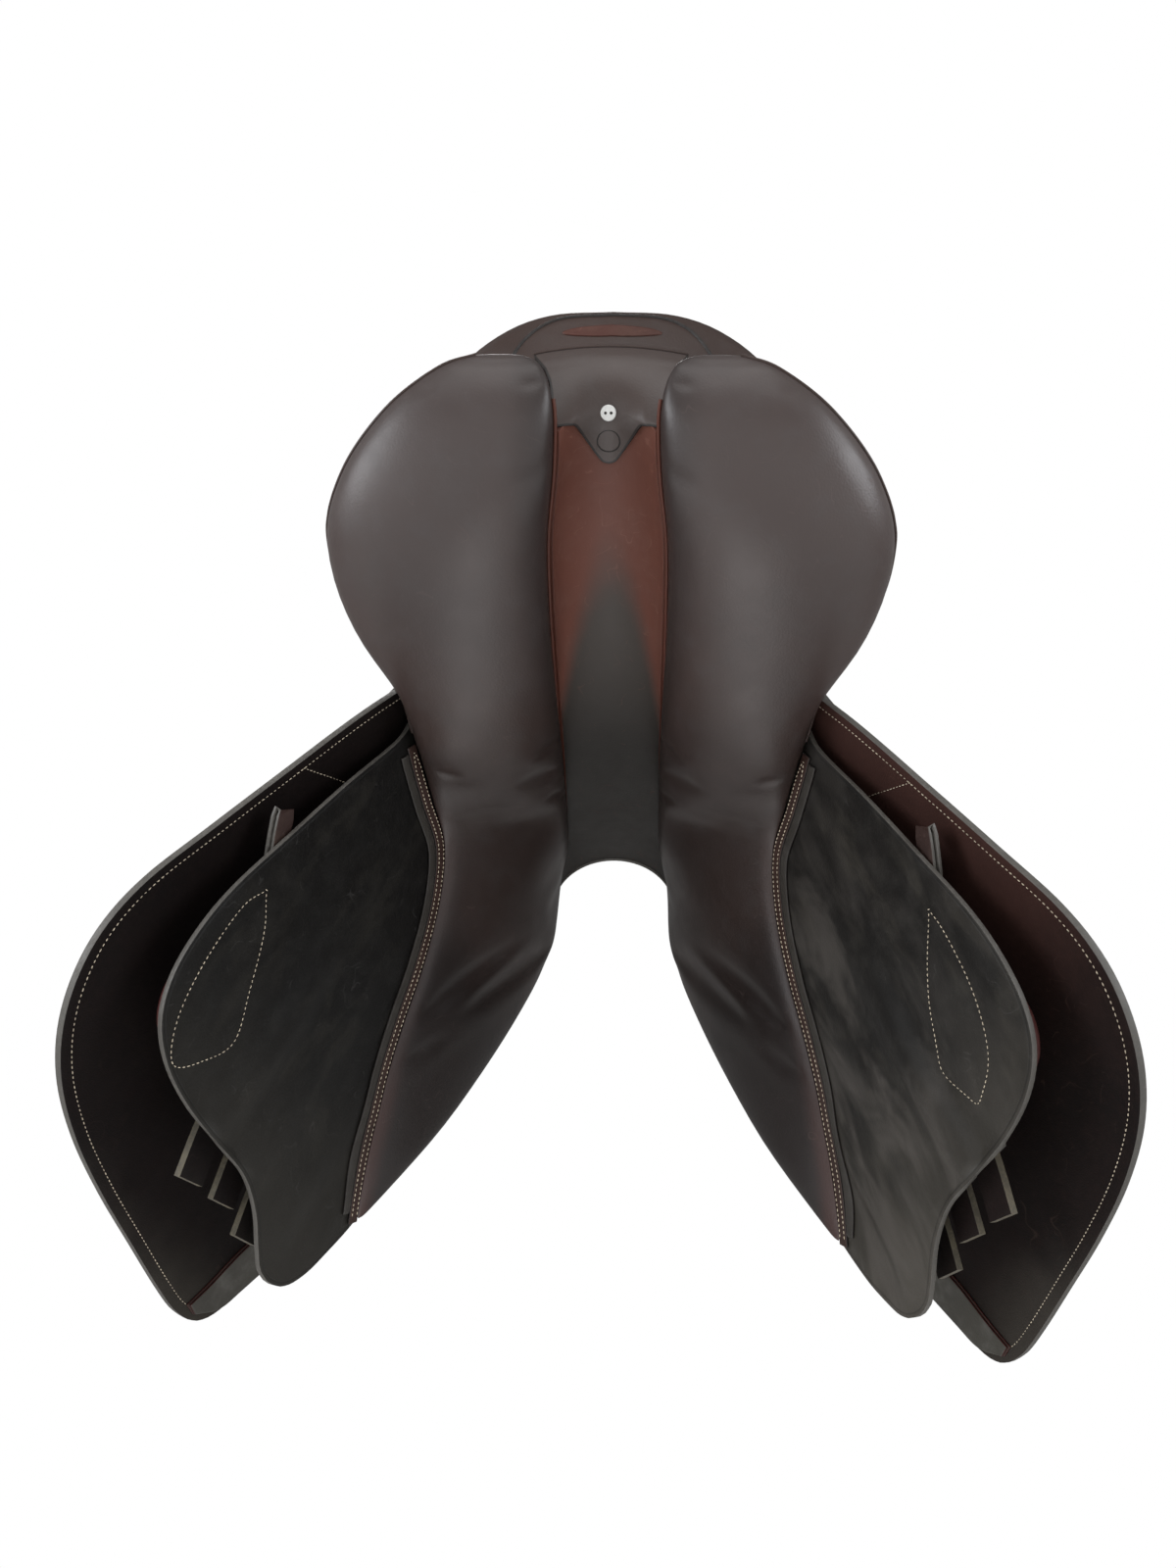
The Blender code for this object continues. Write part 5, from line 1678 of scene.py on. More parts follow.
@dataclass
class Seat(SubAssembly):
    """Covered seat, its gusset, facing, cording and nails."""

    cover: float = 0.0025
    around: int = 96
    wall: int = 8
    rings: int = 40
    fill: float = 0.9
    gusset: float = 0.0014
    facing: float = 0.0016
    half_facing: float = 0.067
    patch: tuple[float, float] = (0.0305, 0.085)
    patch_height: float = 0.64
    nail: ClassVar[Outline] = (
        (0.0052, -0.0004), (0.0055, 0.0004), (0.0046, 0.0016), (0.0028, 0.0024), (0.0003, 0.0027))

    rim: ClassVar[np.ndarray] = cm([
        (-25.2, 0.0, 15.35), (-25.0, 3.8, 15.3), (-24.1, 6.9, 14.75), (-22.3, 9.8, 13.5),
        (-18.8, 13.1, 11.2), (-14.0, 15.0, 8.9), (-9.0, 14.5, 7.7), (-4.0, 12.2, 7.2),
        (1.0, 9.8, 7.2), (6.0, 8.1, 7.5), (11.0, 7.4, 8.0), (15.0, 7.5, 8.5), (18.6, 7.1, 9.2),
        (21.0, 4.6, 10.2), (21.8, 0.0, 10.8)])
    lip: ClassVar[np.ndarray] = cm([
        (-24.0, 0.0, 9.7), (-23.75, 3.8, 9.65), (-22.9, 6.6, 9.4), (-21.3, 9.1, 9.0),
        (-18.2, 12.4, 7.9), (-13.8, 14.3, 6.7), (-9.0, 13.9, 6.0), (-4.0, 11.8, 5.9),
        (1.0, 9.5, 6.2), (6.0, 7.9, 6.6), (11.0, 7.2, 7.0), (15.0, 7.3, 7.4), (18.4, 6.8, 8.0),
        (20.6, 4.4, 8.8), (21.3, 0.0, 9.2)])
    spine: ClassVar[np.ndarray] = cm([
        (-22.0, 14.9), (-19.5, 12.7), (-16.0, 10.6), (-10.0, 8.7), (-4.0, 8.0), (2.0, 8.3),
        (8.0, 9.5), (14.0, 11.3), (18.0, 12.4), (19.5, 12.5)])

    def __post_init__(self) -> None:
        """Join the rows of both halves to the seat's outer face, closed round the seat."""
        half = self.half_rows()
        self.outer = np.concatenate([half, half[:, 1:-1][:, ::-1] * np.array([1, -1, 1])], 1)

    def half_rows(self) -> np.ndarray:
        """Rows of the left half, from the lip up the wall and over to the spine.

        Returns:
            Array of rows by points by three.
        """
        both = spline(np.column_stack([self.rim, self.lip]), self.around)
        e, low = both[:, :3], both[:, 3:]
        xs = np.clip(e[:, 0] * 0.88, self.spine[0, 0], self.spine[-1, 0])
        core = np.stack([xs, np.zeros(self.around), along(self.spine, xs)], 1)
        flat = np.stack([e[:, 0] - core[:, 0], e[:, 1], np.zeros(self.around)], 1)
        away = flat / np.maximum(lengths(flat), TINY)
        rows = [low * (1 - w) + e * w + away * 0.0016 * math.sin(math.pi * w)
                for w in np.linspace(0, 1, self.wall)]
        for r in np.linspace(0, 1, self.rings)[1:] ** 1.25:
            lift = math.sin(r * math.pi / 2) ** 0.55
            ring = e * (1 - r) + core * r
            ring[:, 2] = e[:, 2] + (core[:, 2] - e[:, 2]) * r ** 1.25 + 0.008 * (lift - r)
            rows.append(ring)
        return np.array(rows)

    def normals(self) -> np.ndarray:
        """Outward directions at each point of the outer face.

        Returns:
            One unit vector for each point.
        """
        grid = self.outer
        n = np.cross(np.roll(grid, -1, 1) - np.roll(grid, 1, 1), np.gradient(grid, axis=0))
        n[-1] = n[-2] * [1, 0, 1]
        n *= np.sign(n[-4, self.around // 2, 2])
        return n / np.maximum(lengths(n), 1e-12)

    def dress_cover(self) -> None:
        """Seat cover as a closed skin."""
        outer = self.outer
        inner = outer - self.cover * self.normals()
        rows, cols = outer.shape[:2]
        size = rows * cols
        top = grid_faces(rows, cols, wrap=True)
        faces = top + [tuple(reversed([i + size for i in f])) for f in top]
        faces += [(c, c + size, (c + 1) % cols + size, (c + 1) % cols) for c in range(cols)]
        points = np.concatenate([outer.reshape(-1, 3), inner.reshape(-1, 3)])
        obj = raw_piece("seat_hide", points, faces, [self.shop.seat])
        self.ease_crown(obj, outer[0])
        self.shop.keep(obj, "saddle", "seat_leather", "seat_cover")
        self.shop.pipe("seat_binding", outer[0] + [0, 0, -0.0004], 0.0014, self.shop.seat,
                       "seat_leather", closed=True)

    def ease_crown(self, obj: Piece, lip: np.ndarray) -> None:
        """Stretch the top of the cover smooth, away from its lip.

        Args:
            obj: The cover.
            lip: Points of its lip.
        """
        mark_edges(obj, lip, "from_lip")
        group = obj.vertex_groups.new(name="crown")
        for v, reach in zip(obj.data.vertices, obj.data.attributes["from_lip"].data):
            weight = ease(reach.value, 58.0, 80.0) * ease(-v.co.x, 0.13, 0.17)
            group.add([v.index], float(weight), "REPLACE")
        modify(obj, "SMOOTH", factor=0.5, iterations=14, vertex_group=group.name)
        baked(obj)
        obj.vertex_groups.clear()

    def dress_gusset(self) -> None:
        """Leather that closes the gap between the seat's lip and the panels behind the skirts."""
        low = self.outer[0][self.outer[0][:, 0] < -0.028]
        # The line starts after its widest step, so that the sheet doesn't bridge the channel
        steps = lengths(low - np.roll(low, 1, axis=0))
        low = np.roll(low, -int(np.argmax(steps)), axis=0)
        away = low * [1, 1, 0] - np.array([-0.10, 0, 0])
        away /= lengths(away)
        profile = ((0.0022, 0.0010), (0.0040, -0.0040), (0.0065, -0.0090), (0.0095, -0.0140))
        rows = [low - away * back + np.array([0, 0, rise]) for back, rise in profile]
        obj = leather_sheet("seat_gusset", np.array(rows), self.gusset,
                            [self.shop.seat, self.shop.seat, self.shop.dark_edge],
                            toward=(0, 0, 1), edge=0.0004)
        self.shop.keep(obj, "saddle", "seat_leather")

    def wall_point(self, y: float, w: float) -> np.ndarray:
        """Point of the rear wall at a sideways place and a share of its height.

        Args:
            y: Place across the horse.
            w: Share of the wall's height.

        Returns:
            The point.
        """
        row = w * (self.wall - 1)
        r = min(int(row), self.wall - 2)
        both = self.outer[r] * (1 - row + r) + self.outer[r + 1] * (row - r)
        half = both[:self.around // 3]
        p = np.array([np.interp(abs(y), half[:, 1], half[:, k]) for k in range(3)])
        p[1] = y
        return p

    def dress_facing(self) -> None:
        """Facing behind the cantle with its arched cording and a blank oval patch."""
        ys = np.linspace(-self.half_facing, self.half_facing, 61)
        tops = 0.90 * np.maximum(1 - (np.abs(ys) / 0.0672) ** 4.2, 0.0) ** 0.6
        grid = np.array([[self.wall_point(y, max(top, 0.03) * k) for y, top in zip(ys, tops)]
                         for k in np.linspace(0, 1, 12)])
        away = unit([-1.0, 0, -0.15])
        obj = leather_sheet("facing_hide", grid + away * 0.0011, self.facing,
                            [self.shop.seat, self.shop.seat, self.shop.dark_edge],
                            toward=(-1, 0, 0), edge=0.0004)
        self.shop.keep(obj, "saddle", "trim_leather", "cantle_facing")
        self.shop.pipe("facing_cording", grid[-1] + away * 0.0016, 0.0013, self.shop.dark_edge,
                       "seat_leather")
        profile = ((1.0, 0.0), (1.0, 0.0008), (0.95, 0.0012), (0.80, 0.0011), (0.40, 0.0011),
                   (0.02, 0.0011))
        wide, high = self.patch
        rings = [[self.wall_point(wide * r * math.cos(a),
                                  self.patch_height + high * r * math.sin(a))
                  + away * (0.0015 + h) for a in np.linspace(0, TURN, 65)[:-1]]
                 for r, h in profile]
        patch = capped("blank_patch", np.array(rings), self.shop.badge)
        self.shop.keep(patch, "saddle", "welt_leather")

    def dress_seams(self) -> None:
        """Corded and sewn seams on the seat's top, and the nails."""
        outer, n, half = self.outer, self.normals(), self.around
        row = self.wall + 9
        keep = slice(int(half * 0.10), int(half * 0.93))
        seam, up = outer[row, keep], n[row, keep]
        across = outer[row + 1, keep] - seam
        across /= lengths(across)
        for side in Side:
            self.shop.pipe("seat_cording", seam + up * 0.0002, 0.0015, self.shop.seat,
                           "seat_leather", side)
            for k, shift in enumerate((-0.0032, 0.0032)):
                path = seam + across * shift + up * 0.0003
                self.shop.sew("seat_stitches_" + "ab"[k], path, up, side, "saddle",
                              self.shop.dull_thread, seed=5 + k)
            for k, place in enumerate((0.150, 0.196)):
                x, y = outer[2, :half, 0], outer[2, :half, 1]
                column = int(np.argmin(np.abs(x - place) + (y < 0.02) * 9))
                nail = lathe("saddle_nail_" + "ab"[k] + side.tag, self.nail, outer[3, column],
                             n[3, column], self.shop.brass, 24)
                self.shop.keep(nail, "saddle", "nickel_plate", side=side)

    def dress(self) -> None:
        """Make the seat's pieces."""
        self.dress_cover()
        self.dress_gusset()
        self.dress_facing()
        self.dress_seams()


@dataclass
class SideLeather(SubAssembly):
    """Sweat flap, outer flap, skirt, band, seam strip and keeper of one side."""

    side: Side
    sweat: float = 0.0035
    flap: float = 0.0045
    skirt: float = 0.0035
    strip: float = 0.0016
    ply: float = 0.0012
    strip_bed: float = 0.00285
    stitch_inset: float = 0.0054
    folds: tuple[float, float] = (0.046, 0.113)
    notch_x: tuple[float, float] = (0.018, 0.154)
    notch_z: tuple[float, float] = (0.012, 0.120)

    flap_rear: ClassVar[np.ndarray] = cm([
        (-5.0, 4.2), (-6.2, -0.2), (-7.0, -7.2), (-7.7, -12.2), (-8.4, -16.5), (-8.2, -19.6),
        (-7.1, -22.2), (-5.2, -24.5), (-2.5, -26.4), (1.2, -28.0), (5.7, -29.4), (10.5, -30.7),
        (14.7, -31.9), (17.0, -32.5), (18.3, -32.65)])
    flap_front: ClassVar[np.ndarray] = cm([
        (19.5, 6.2), (22.0, 4.0), (25.2, 0.0), (27.4, -5.5), (28.0, -12.0), (26.8, -18.5),
        (24.4, -25.0), (21.9, -30.0), (20.9, -31.7), (19.9, -32.45), (18.9, -32.67)])
    sweat_rear: ClassVar[np.ndarray] = cm([
        (-3.9, 0.2), (-4.0, -2.0), (-5.0, -6.5), (-5.9, -11.7), (-6.5, -15.5), (-6.5, -18.4),
        (-5.9, -21.2), (-4.6, -23.4), (-2.4, -25.0), (0.6, -26.1), (4.1, -26.8), (7.2, -27.4),
        (9.6, -28.7), (11.4, -30.4), (12.4, -31.3), (13.4, -31.65)])
    sweat_front: ClassVar[np.ndarray] = cm([
        (20.4, 1.6), (21.6, -0.8), (22.1, -4.5), (21.9, -9.8), (20.9, -15.2), (20.0, -20.0),
        (18.5, -26.0), (16.9, -29.3), (15.9, -30.8), (14.9, -31.5), (14.0, -31.68)])
    waves: ClassVar[dict[Side, tuple[float, float]]] = {
        Side.LEFT: (0.0018, 2.1), Side.RIGHT: (0.0034, 0.9)}
    teardrops: ClassVar[dict[Side, np.ndarray]] = {
        Side.LEFT: cm([(-4.7, -14.6), (-5.3, -16.3), (-4.9, -19.8), (-3.7, -23.2), (-2.2, -24.9),
                       (-0.7, -23.9), (0.5, -22.0), (-1.0, -19.4), (-2.9, -16.4)]),
        Side.RIGHT: cm([(-4.2, -14.2), (-4.2, -15.7), (-3.6, -18.6), (-2.3, -21.5), (-1.1, -23.0),
                        (0.6, -23.9), (1.4, -23.2), (2.2, -21.1), (0.4, -18.9), (-1.9, -16.3)])}

    def waved_sweat(self, x: Any, z: Any) -> Any:
        """Sweat flap surface with the soft folds of worn leather near its foot.

        Args:
            x: Places along the horse.
            z: Heights.

        Returns:
            Distance from the centre plane.
        """
        strength, phase = self.waves[self.side]
        low = ease(-z, 0.10, 0.19) * (1 - ease(-z, 0.285, 0.315))
        seam = Panels.outer[7:]
        ahead = np.interp(-z, -seam[:, 2], seam[:, 0]) - x
        inside = ease(x - self.inner_edge(z), 0.0, 0.03) * ease(ahead, 0.003, 0.030)
        run = x + 0.05 * z + 0.004 * np.sin(z * 38.0)
        short, long = self.folds
        fold = np.sin(run * TURN / short + phase) * (0.6 + 0.4 * np.sin(run * TURN / long))
        return sweat_surface(x, z) + strength * low * inside * fold

    def inner_edge(self, z: Any) -> Any:
        """Rear edge of the sweat flap at a height."""
        line = spline(self.sweat_rear, 120)[::-1]
        return np.interp(z, line[:, 1], line[:, 0])

    def dress_sweat(self) -> None:
        """Sweat flap with its teardrop of stitches."""
        grid = side_grid(self.sweat_rear, self.sweat_front, self.waved_sweat, 96, 62)
        obj = leather_sheet("sweat_hide" + self.side.tag, grid, self.sweat,
                            [self.shop.flesh, self.shop.sweat, self.shop.dyed])
        self.shop.keep(obj, "saddle", "sweat_leather", "sweat_flap" + self.side.tag, side=self.side)
        points = self.teardrops[self.side]
        loop = spline(np.vstack([points, points[:1]]), 150)[:-1]
        self.shop.sew_surface("teardrop_stitches", loop, self.waved_sweat, -self.sweat / 2,
                              self.side, closed=True, seed=11)

    def dress_seam(self) -> None:
        """Seam strip between panel and sweat flap, sewn in two rows, and the lap beside it."""
        seam = Panels(self.shop).shape()[:, Panels.under][:, [0, 2]]
        seam = spline(seam[seam[:, 0] > -0.030], 170)
        step = steps_of(seam)
        away = np.stack([step[:, 1], -step[:, 0]], 1)
        bed = shifted(self.waved_sweat, -self.strip_bed)
        for name, start, end, low, high, drop, crown, hide, slot, nodes in (
                ("seam_hide", 0.0002, 0.0080, 0, 170, 0.0, 0.0, self.shop.strip,
                 "welt_leather", ["seam_strip" + self.side.tag]),
                ("sweat_lap", 0.0088, 0.0150, 2, 166, 0.0002, 0.0007, self.shop.lap,
                 "sweat_leather", [])):
            grid = []
            for d in np.linspace(start, end, 9):
                swell = crown * math.sin(math.pi * (d - start) / (end - start))
                grid.append(laid((seam + away * d)[low:high], bed) + [0, drop - swell, 0])
            obj = leather_sheet(name + self.side.tag, np.array(grid), self.strip,
                                [hide, hide, self.shop.dark_edge], toward=(0, -1, 0), edge=0.0005)
            self.shop.keep(obj, "saddle", slot, *nodes, side=self.side)
        near, far = seam + away * 0.0018, seam + away * 0.0064
        turn = seam[3] + away[3] * 0.0041
        loop = np.vstack([near[::-1][3:-7], turn[None] - step[3] * 0.0016, far[7:-3]])
        self.shop.sew_surface("seam_stitches", spline(loop[::2], 420), self.waved_sweat, -0.0036,
                              self.side, seed=20, width=0.00066)

    def dress_flap(self) -> None:
        """Outer flap with rounded edges and stitches on both faces."""
        body = "flap" + self.side.tag
        grid = side_grid(self.flap_rear, self.flap_front, flap_surface, 100, 66)
        obj = leather_sheet("flap_hide" + self.side.tag, grid, self.flap,
                            [self.shop.flap, self.shop.flesh, self.shop.dyed], edge=0.0013)
        (rear, front), (low, high), reach = self.notch_x, self.notch_z, 0.20
        notch = [[(x, y, z) for y, z in ((0, low), (reach, low), (reach, high), (0, high))]
                 for x in (rear, front)]
        cut_out(obj, capped("notch_cutter", np.array(notch), self.shop.dyed))
        self.shop.keep(obj, body, "flap_leather", body, side=self.side)
        line = border(self.flap_rear, self.flap_front, self.stitch_inset)
        line = spline(line[line[:, 1] < 0.030][::3], 420)
        half = self.flap / 2
        for name, lift, seed in (("inner", -half, 3), ("outer", half, 4)):
            self.shop.sew_surface("flap_stitches_" + name, line, flap_surface, lift, self.side,
                                  body, seed=seed)
        self.dress_front()
        cross = spline(cm([(-6.35, -6.35), (-4.5, -5.4), (-2.7, -4.5), (-0.6, -3.6)]), 60)
        self.shop.sew_surface("cross_stitches", cross, flap_surface, -half, self.side, body, seed=8)

    def dress_front(self) -> None:
        """Two-ply facing along the lower front of the flap's inner face."""
        rear = cm([(20.9, -21.5), (20.4, -24.5), (20.0, -26.6), (19.3, -28.4), (18.6, -30.5),
                   (17.9, -32.1)])
        front = cm([(25.6, -21.5), (24.4, -24.5), (23.2, -27.0), (21.7, -29.9), (20.7, -31.5),
                    (18.9, -32.4)])
        for name, out, back, hide in (("front_ply", 0.0030, 0.0, self.shop.strip),
                                      ("front_facing", 0.0044, 0.0011, self.shop.olive)):
            grid = side_grid(rear + [back, 0.0], front, shifted(flap_surface, -out), 60, 16)
            obj = leather_sheet(name + self.side.tag, grid, self.ply, [hide, hide, self.shop.block],
                                edge=0.0004)
            self.shop.keep(obj, "flap" + self.side.tag, "flap_leather", side=self.side)

    def dress_skirt(self) -> None:
        """Skirt over the stirrup bar, with its band below the seat."""
        rear = cm([(-4.2, 0.0), (-5.4, 2.4), (-5.2, -0.6), (-3.4, -3.2), (0.0, -5.0), (4.0, -5.9)])
        front = cm([(19.0, 0.0), (20.2, 4.6), (19.4, 1.6), (16.8, -1.8), (13.2, -4.4),
                    (9.0, -5.8)])
        for line in (rear, front):
            line[0, 1] = hinge_height(line[0, 0]) + SKIRT_RISE
        grid = side_grid(rear, front, skirt_surface, 70, 60)
        body = "skirt" + self.side.tag
        obj = leather_sheet("skirt_hide" + self.side.tag, grid, self.skirt,
                            [self.shop.flap, self.shop.flesh, self.shop.dyed])
        self.shop.keep(obj, body, "flap_leather", body, side=self.side)
        line = border(rear, front, 0.0070)
        line = spline(line[line[:, 1] < 0.028][::3], 220)
        self.shop.sew_surface("skirt_stitches", line, skirt_surface, self.skirt / 2, self.side,
                              body, seed=6)
        self.recut("skirt_band", "band_hide", self.side, [self.shop.flap], 0.0008, "flap_leather")

    def dress_keeper(self) -> None:
        """Folded tab behind the sweat flap."""
        finishes = [self.shop.keeper, self.shop.keeper, self.shop.dyed]
        self.recut("flap_keeper", "keeper_tab", self.side, finishes, 0.0005, "trim_leather")

    def dress(self) -> None:
        """Make the side's leather."""
        self.dress_sweat()
        self.dress_seam()
        self.dress_flap()
        self.dress_skirt()
        self.dress_keeper()


@dataclass
class Blocks(SubAssembly):
    """Thigh block, knee block and knee pad of one side."""

    side: Side
    fill: float = 0.8

    thigh: ClassVar[Edges] = (
        cm([(-3.2, -14.4), (-4.2, -16.2), (-5.0, -18.8), (-5.1, -21.2), (-4.0, -23.2),
            (-2.0, -24.2)]),
        cm([(-3.4, -14.2), (-1.8, -15.4), (-0.1, -17.8), (0.9, -20.6), (0.5, -23.0),
            (-1.0, -24.1)]))
    knee: ClassVar[Edges] = (
        cm([(17.6, -3.8), (16.1, -5.6), (15.1, -9.4), (15.3, -13.4), (16.5, -16.4),
            (17.4, -17.2)]),
        cm([(18.8, -3.6), (20.3, -5.4), (20.9, -9.4), (20.3, -13.4), (19.0, -16.4),
            (18.2, -17.2)]))
    pad: ClassVar[Edges] = (
        cm([(20.4, -1.5), (18.0, -3.2), (16.6, -7.0), (16.2, -11.0), (15.9, -15.0),
            (16.1, -19.0), (17.6, -21.8)]),
        cm([(21.6, -1.3), (24.3, -3.2), (25.9, -7.0), (26.4, -11.0), (25.4, -15.6),
            (22.8, -19.8), (19.2, -22.0)]))

    def cushion(self, name: str, edges: Edges, surface: Surface,
                depth: float, finish: Finish) -> Piece:
        """Low cushion lying on a side surface, flat on its bed and crowned outwards.

        Args:
            name: Name of the piece.
            edges: Rear and front outlines as (x, z) points.
            surface: The bed it lies on.
            depth: Height of its crown.
            finish: Its material.

        Returns:
            The cushion, on the left side.
        """
        rows, steps = 44, 26
        a, b = spline(edges[0], rows), spline(edges[1], rows)
        phi = np.linspace(0, math.pi, steps)
        s = (1 - np.cos(phi)) / 2
        rings = []
        for i in range(rows):
            swell = max(math.sin(math.pi * (i + 0.35) / (rows - 0.3)), 0.05) ** 0.6
            floor = laid(a[i] * (1 - s[:, None]) + b[i] * s[:, None], surface)
            crown = floor + ACROSS * (depth * swell * np.sin(phi) ** 0.6)[:, None]
            rings.append(np.concatenate([crown, floor[1:-1][::-1]]))
        return capped(name, np.array(rings), finish)

    def dress(self) -> None:
        """Make the side's blocks with their corded edges."""
        tag = self.side.tag
        on_sweat = shifted(sweat_surface, 0.0021)
        on_flap = shifted(flap_surface, 0.0026)
        block = (on_sweat, self.shop.block, "saddle", "block_leather", 0.0011)
        pad = (on_flap, self.shop.pad, "flap" + tag, "knee_pad_leather", 0.0013)
        for node, edges, depth, kind in (("thigh_block", self.thigh, 0.015, block),
                                         ("knee_block", self.knee, 0.020, block),
                                         ("knee_pad", self.pad, 0.009, pad)):
            bed, finish, body, slot, radius = kind
            obj = self.cushion(node + "_hide" + tag, edges, bed, depth, finish)
            self.shop.keep(obj, body, slot, node + tag, side=self.side)
            ring = np.vstack([spline(edges[0], 70), spline(edges[1], 70)[::-1]])
            self.shop.pipe(node + "_cording", laid(ring, bed) + ACROSS * radius * 0.8, radius,
                           finish, slot, self.side, body, closed=True)


@dataclass
class Straps(SubAssembly):
    """Girth straps with their guard and loop, of one side."""

    side: Side

    def dress(self) -> None:
        """Make the three straps, the guard and its loop."""
        strap = [self.shop.strap, self.shop.flesh, self.shop.strap_edge]
        guard = [self.shop.flap, self.shop.flesh, self.shop.dyed]
        for name in ("rear", "middle", "front"):
            self.recut("billet_" + name, "strap_" + name, self.side, strap, 0.0005,
                       "strap_leather")
        for node in ("girth_guard", "guard_loop"):
            self.recut(node, node + "_hide", self.side, guard, 0.0006, "flap_leather")


@dataclass
class Hardware(SubAssembly):
    """Tree, webs, bars, catches and dee rings, which keep their CAD form."""

    wood: ClassVar[Names] = ("cantle_board", "tree_point", "tree_rail")
    webs: ClassVar[Names] = ("seat_web", "girth_web")
    steel: ClassVar[Names] = ("gullet_plate", "tree_spring", "catch_pin")
    foam: ClassVar[Names] = ("seat_foam",)

    def dress(self) -> None:
        """Give the nodes their finishes and round the forged ones."""
        for group, finish in ((self.wood, self.shop.wood), (self.webs, self.shop.web),
                              (self.steel, self.shop.steel), (self.foam, self.shop.foam)):
            for name, node in frame["nodes"].items():
                if name.removesuffix(Side.LEFT.tag).removesuffix(Side.RIGHT.tag) in group:
                    for slot in node.material_slots:
                        slot.material = finish
        for base, finish, slot, width in (("stirrup_bar", self.shop.steel, "tree_steel", 0.0008),
                                          ("bar_catch", self.shop.steel, "tree_steel", 0.0005),
                                          ("dee_ring", self.shop.nickel, "nickel_plate", 0.0003),
                                          ("dee_chape", self.shop.fitting, "trim_leather", 0.0004)):
            for side in Side:
                self.recut(base, base + "_piece", side, [finish], width, slot)


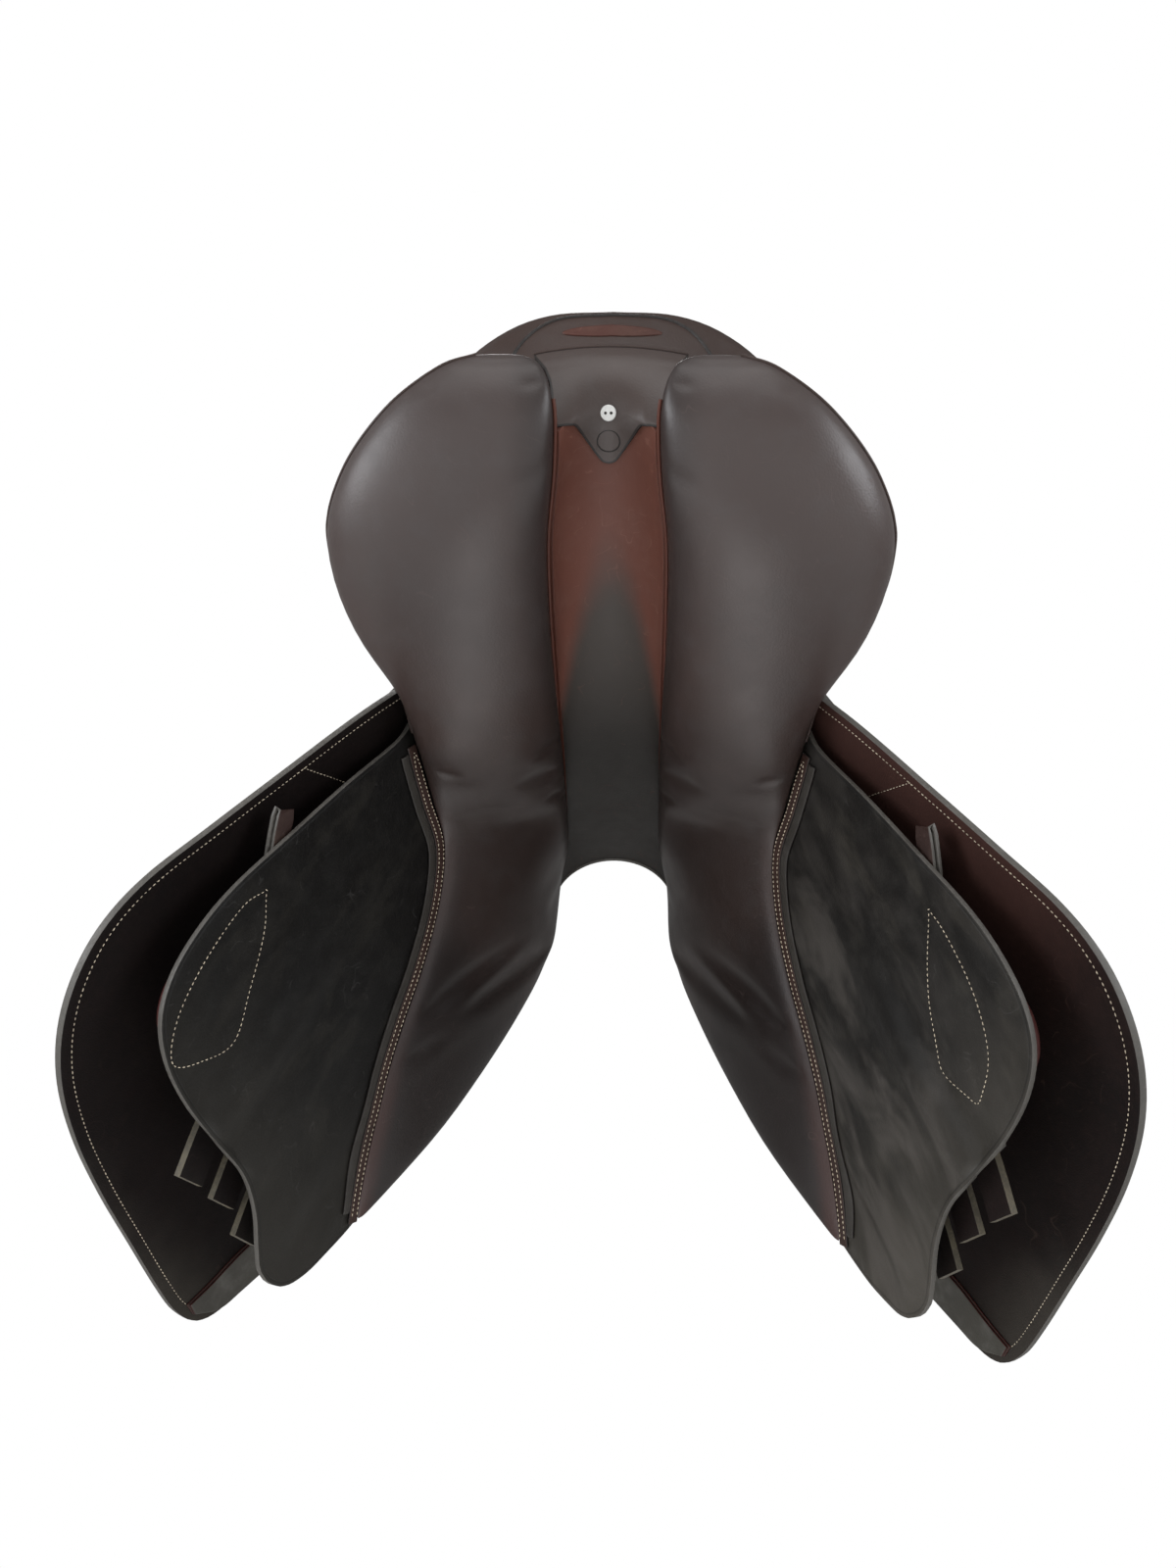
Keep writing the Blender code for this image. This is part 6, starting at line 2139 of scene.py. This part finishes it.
@dataclass
class Studio:
    """Camera, floor, lamps and backdrop."""

    elevation: float = 39.8
    yaw: float = 4.31
    roll: float = 4.18
    distance: float = 0.838
    focal: float = 1196.0
    target: Triple = (0.021, 0.015, 0.0)
    photo_height: float = 1600.0
    sensor: float = 36.0
    floor: float = -0.64
    reach: float = 6.0
    aim: Triple = (0.0, 0.0, -0.02)

    def camera(self) -> None:
        """Camera at the photograph's viewing angle."""
        el, yaw, roll = (math.radians(v) for v in (self.elevation, self.yaw, self.roll))
        d = np.array([math.cos(el) * math.cos(yaw), math.cos(el) * math.sin(yaw), math.sin(el)])
        r = np.array([math.sin(yaw), -math.cos(yaw), 0.0])
        u = np.cross(r, d)
        right = math.cos(roll) * r + math.sin(roll) * u
        up = -math.sin(roll) * r + math.cos(roll) * u
        data = bpy.data.cameras.new("camera")
        data.sensor_width = self.sensor
        data.lens = self.focal / self.photo_height * self.sensor
        data.clip_start = 0.02
        obj = placed("camera", data)
        place = np.eye(4)
        place[:3, 0], place[:3, 1], place[:3, 2] = right, up, -d
        place[:3, 3] = np.array(self.target) - d * self.distance
        obj.matrix_world = Matrix(place.tolist())
        bpy.context.scene.camera = obj
        self.right, self.up, self.back = right, up, -d

    def lamp(self, name: str, place: Sequence[float], size: tuple[float, float], power: float,
             colour: Colour = (1.0, 1.0, 1.0)) -> None:
        """Soft rectangular lamp aimed at the saddle.

        Args:
            name: Name of the lamp.
            place: Its place.
            size: Width and height.
            power: Power in watts.
            colour: Colour of its light.
        """
        data = bpy.data.lights.new(name, "AREA")
        data.shape = "RECTANGLE"
        data.size, data.size_y = size
        data.energy = power
        data.color = colour
        obj = placed(name, data)
        obj.location = place
        obj.visible_camera = False
        obj.rotation_mode = "QUATERNION"
        toward = Vector(self.aim) - Vector(place)
        obj.rotation_quaternion = toward.to_track_quat("-Z", "Y")

    def backdrop(self) -> None:
        """Pale floor, and a world that looks white to the camera and lights the rest softly."""
        mesh = bpy.data.meshes.new("floor")
        s, z = self.reach, self.floor
        mesh.from_pydata([(-s, -s, z), (s, -s, z), (s, s, z), (-s, s, z)], [], [(0, 1, 2, 3)])
        p = Paint("floor_paint")
        base = p.mix(p.noise(3.0, 2.0), (0.82, 0.82, 0.81), (0.86, 0.86, 0.85))
        mesh.materials.append(p.finish({"Roughness": 0.9}, {"Base Color": base}))
        made = {n.bl_idname: n for n in p.tree.nodes}
        shader = Wire(p, made["ShaderNodeBsdfPrincipled"].outputs[0], None)
        glow = p.node("ShaderNodeEmission", {"Color": (0.86, 0.86, 0.86), "Strength": 1.0})
        part = p.node("ShaderNodeLightPath").of("Is Camera Ray") * 0.62
        both = p.node("ShaderNodeMixShader", {0: part, 1: shader, 2: glow})
        p.tree.links.new(both.socket, made["ShaderNodeOutputMaterial"].inputs["Surface"])
        placed("floor", mesh)
        world = bpy.data.worlds.new("studio")
        bpy.context.scene.world = world
        world.use_nodes = True
        g = Graph(world.node_tree)
        world.node_tree.nodes.clear()
        path = g.node("ShaderNodeLightPath")
        seen = path.of("Is Camera Ray").top(path.of("Is Transmission Ray"))
        light = g.node("ShaderNodeBackground", {"Color": (1.0, 0.985, 0.97), "Strength": 0.30})
        white = g.node("ShaderNodeBackground", {"Color": (1.0, 1.0, 1.0), "Strength": 1.0})
        both = g.node("ShaderNodeMixShader", {0: seen, 1: light, 2: white})
        g.node("ShaderNodeOutputWorld", {"Surface": both})

    def build(self) -> None:
        """Set up the whole studio."""
        self.camera()
        self.backdrop()
        sky = (0.93, 0.96, 1.0)
        key = self.up * 1.25 + self.back * 0.85
        near = self.right * 1.25 + self.back * 0.55 + self.up * 0.45
        far = -self.right * 1.25 + self.back * 0.55 + self.up * 0.40
        low = -self.right * 1.15 - self.up * 0.55 + self.back * 0.70
        self.lamp("key", key, (1.4, 0.9), 8.0)
        self.lamp("low", low, (0.6, 0.6), 2.9)
        self.lamp("side_near", near, (0.6, 0.9), 9.5, sky)
        self.lamp("side_far", far, (0.6, 0.9), 11.5, sky)
        self.lamp("below", (0.06, 0.0, -0.60), (0.30, 0.42), 0.8)
        self.lamp("top", (0.2, 0.3, 1.5), (0.8, 0.8), 16.0)
        scene = bpy.context.scene
        scene.view_settings.view_transform = "Standard"


def main() -> None:
    """Build every sub-assembly in order and the studio round it."""
    logging.basicConfig(level=logging.INFO, format="%(name)s: %(message)s")
    shop = Workshop()
    for part in (Panels, Channel, Seat):
        part(shop).dress()
    for side in Side:
        for part in (SideLeather, Blocks, Straps):
            part(shop, side).dress()
    Hardware(shop).dress()
    Studio().build()


if __name__ == "__main__":
    main()
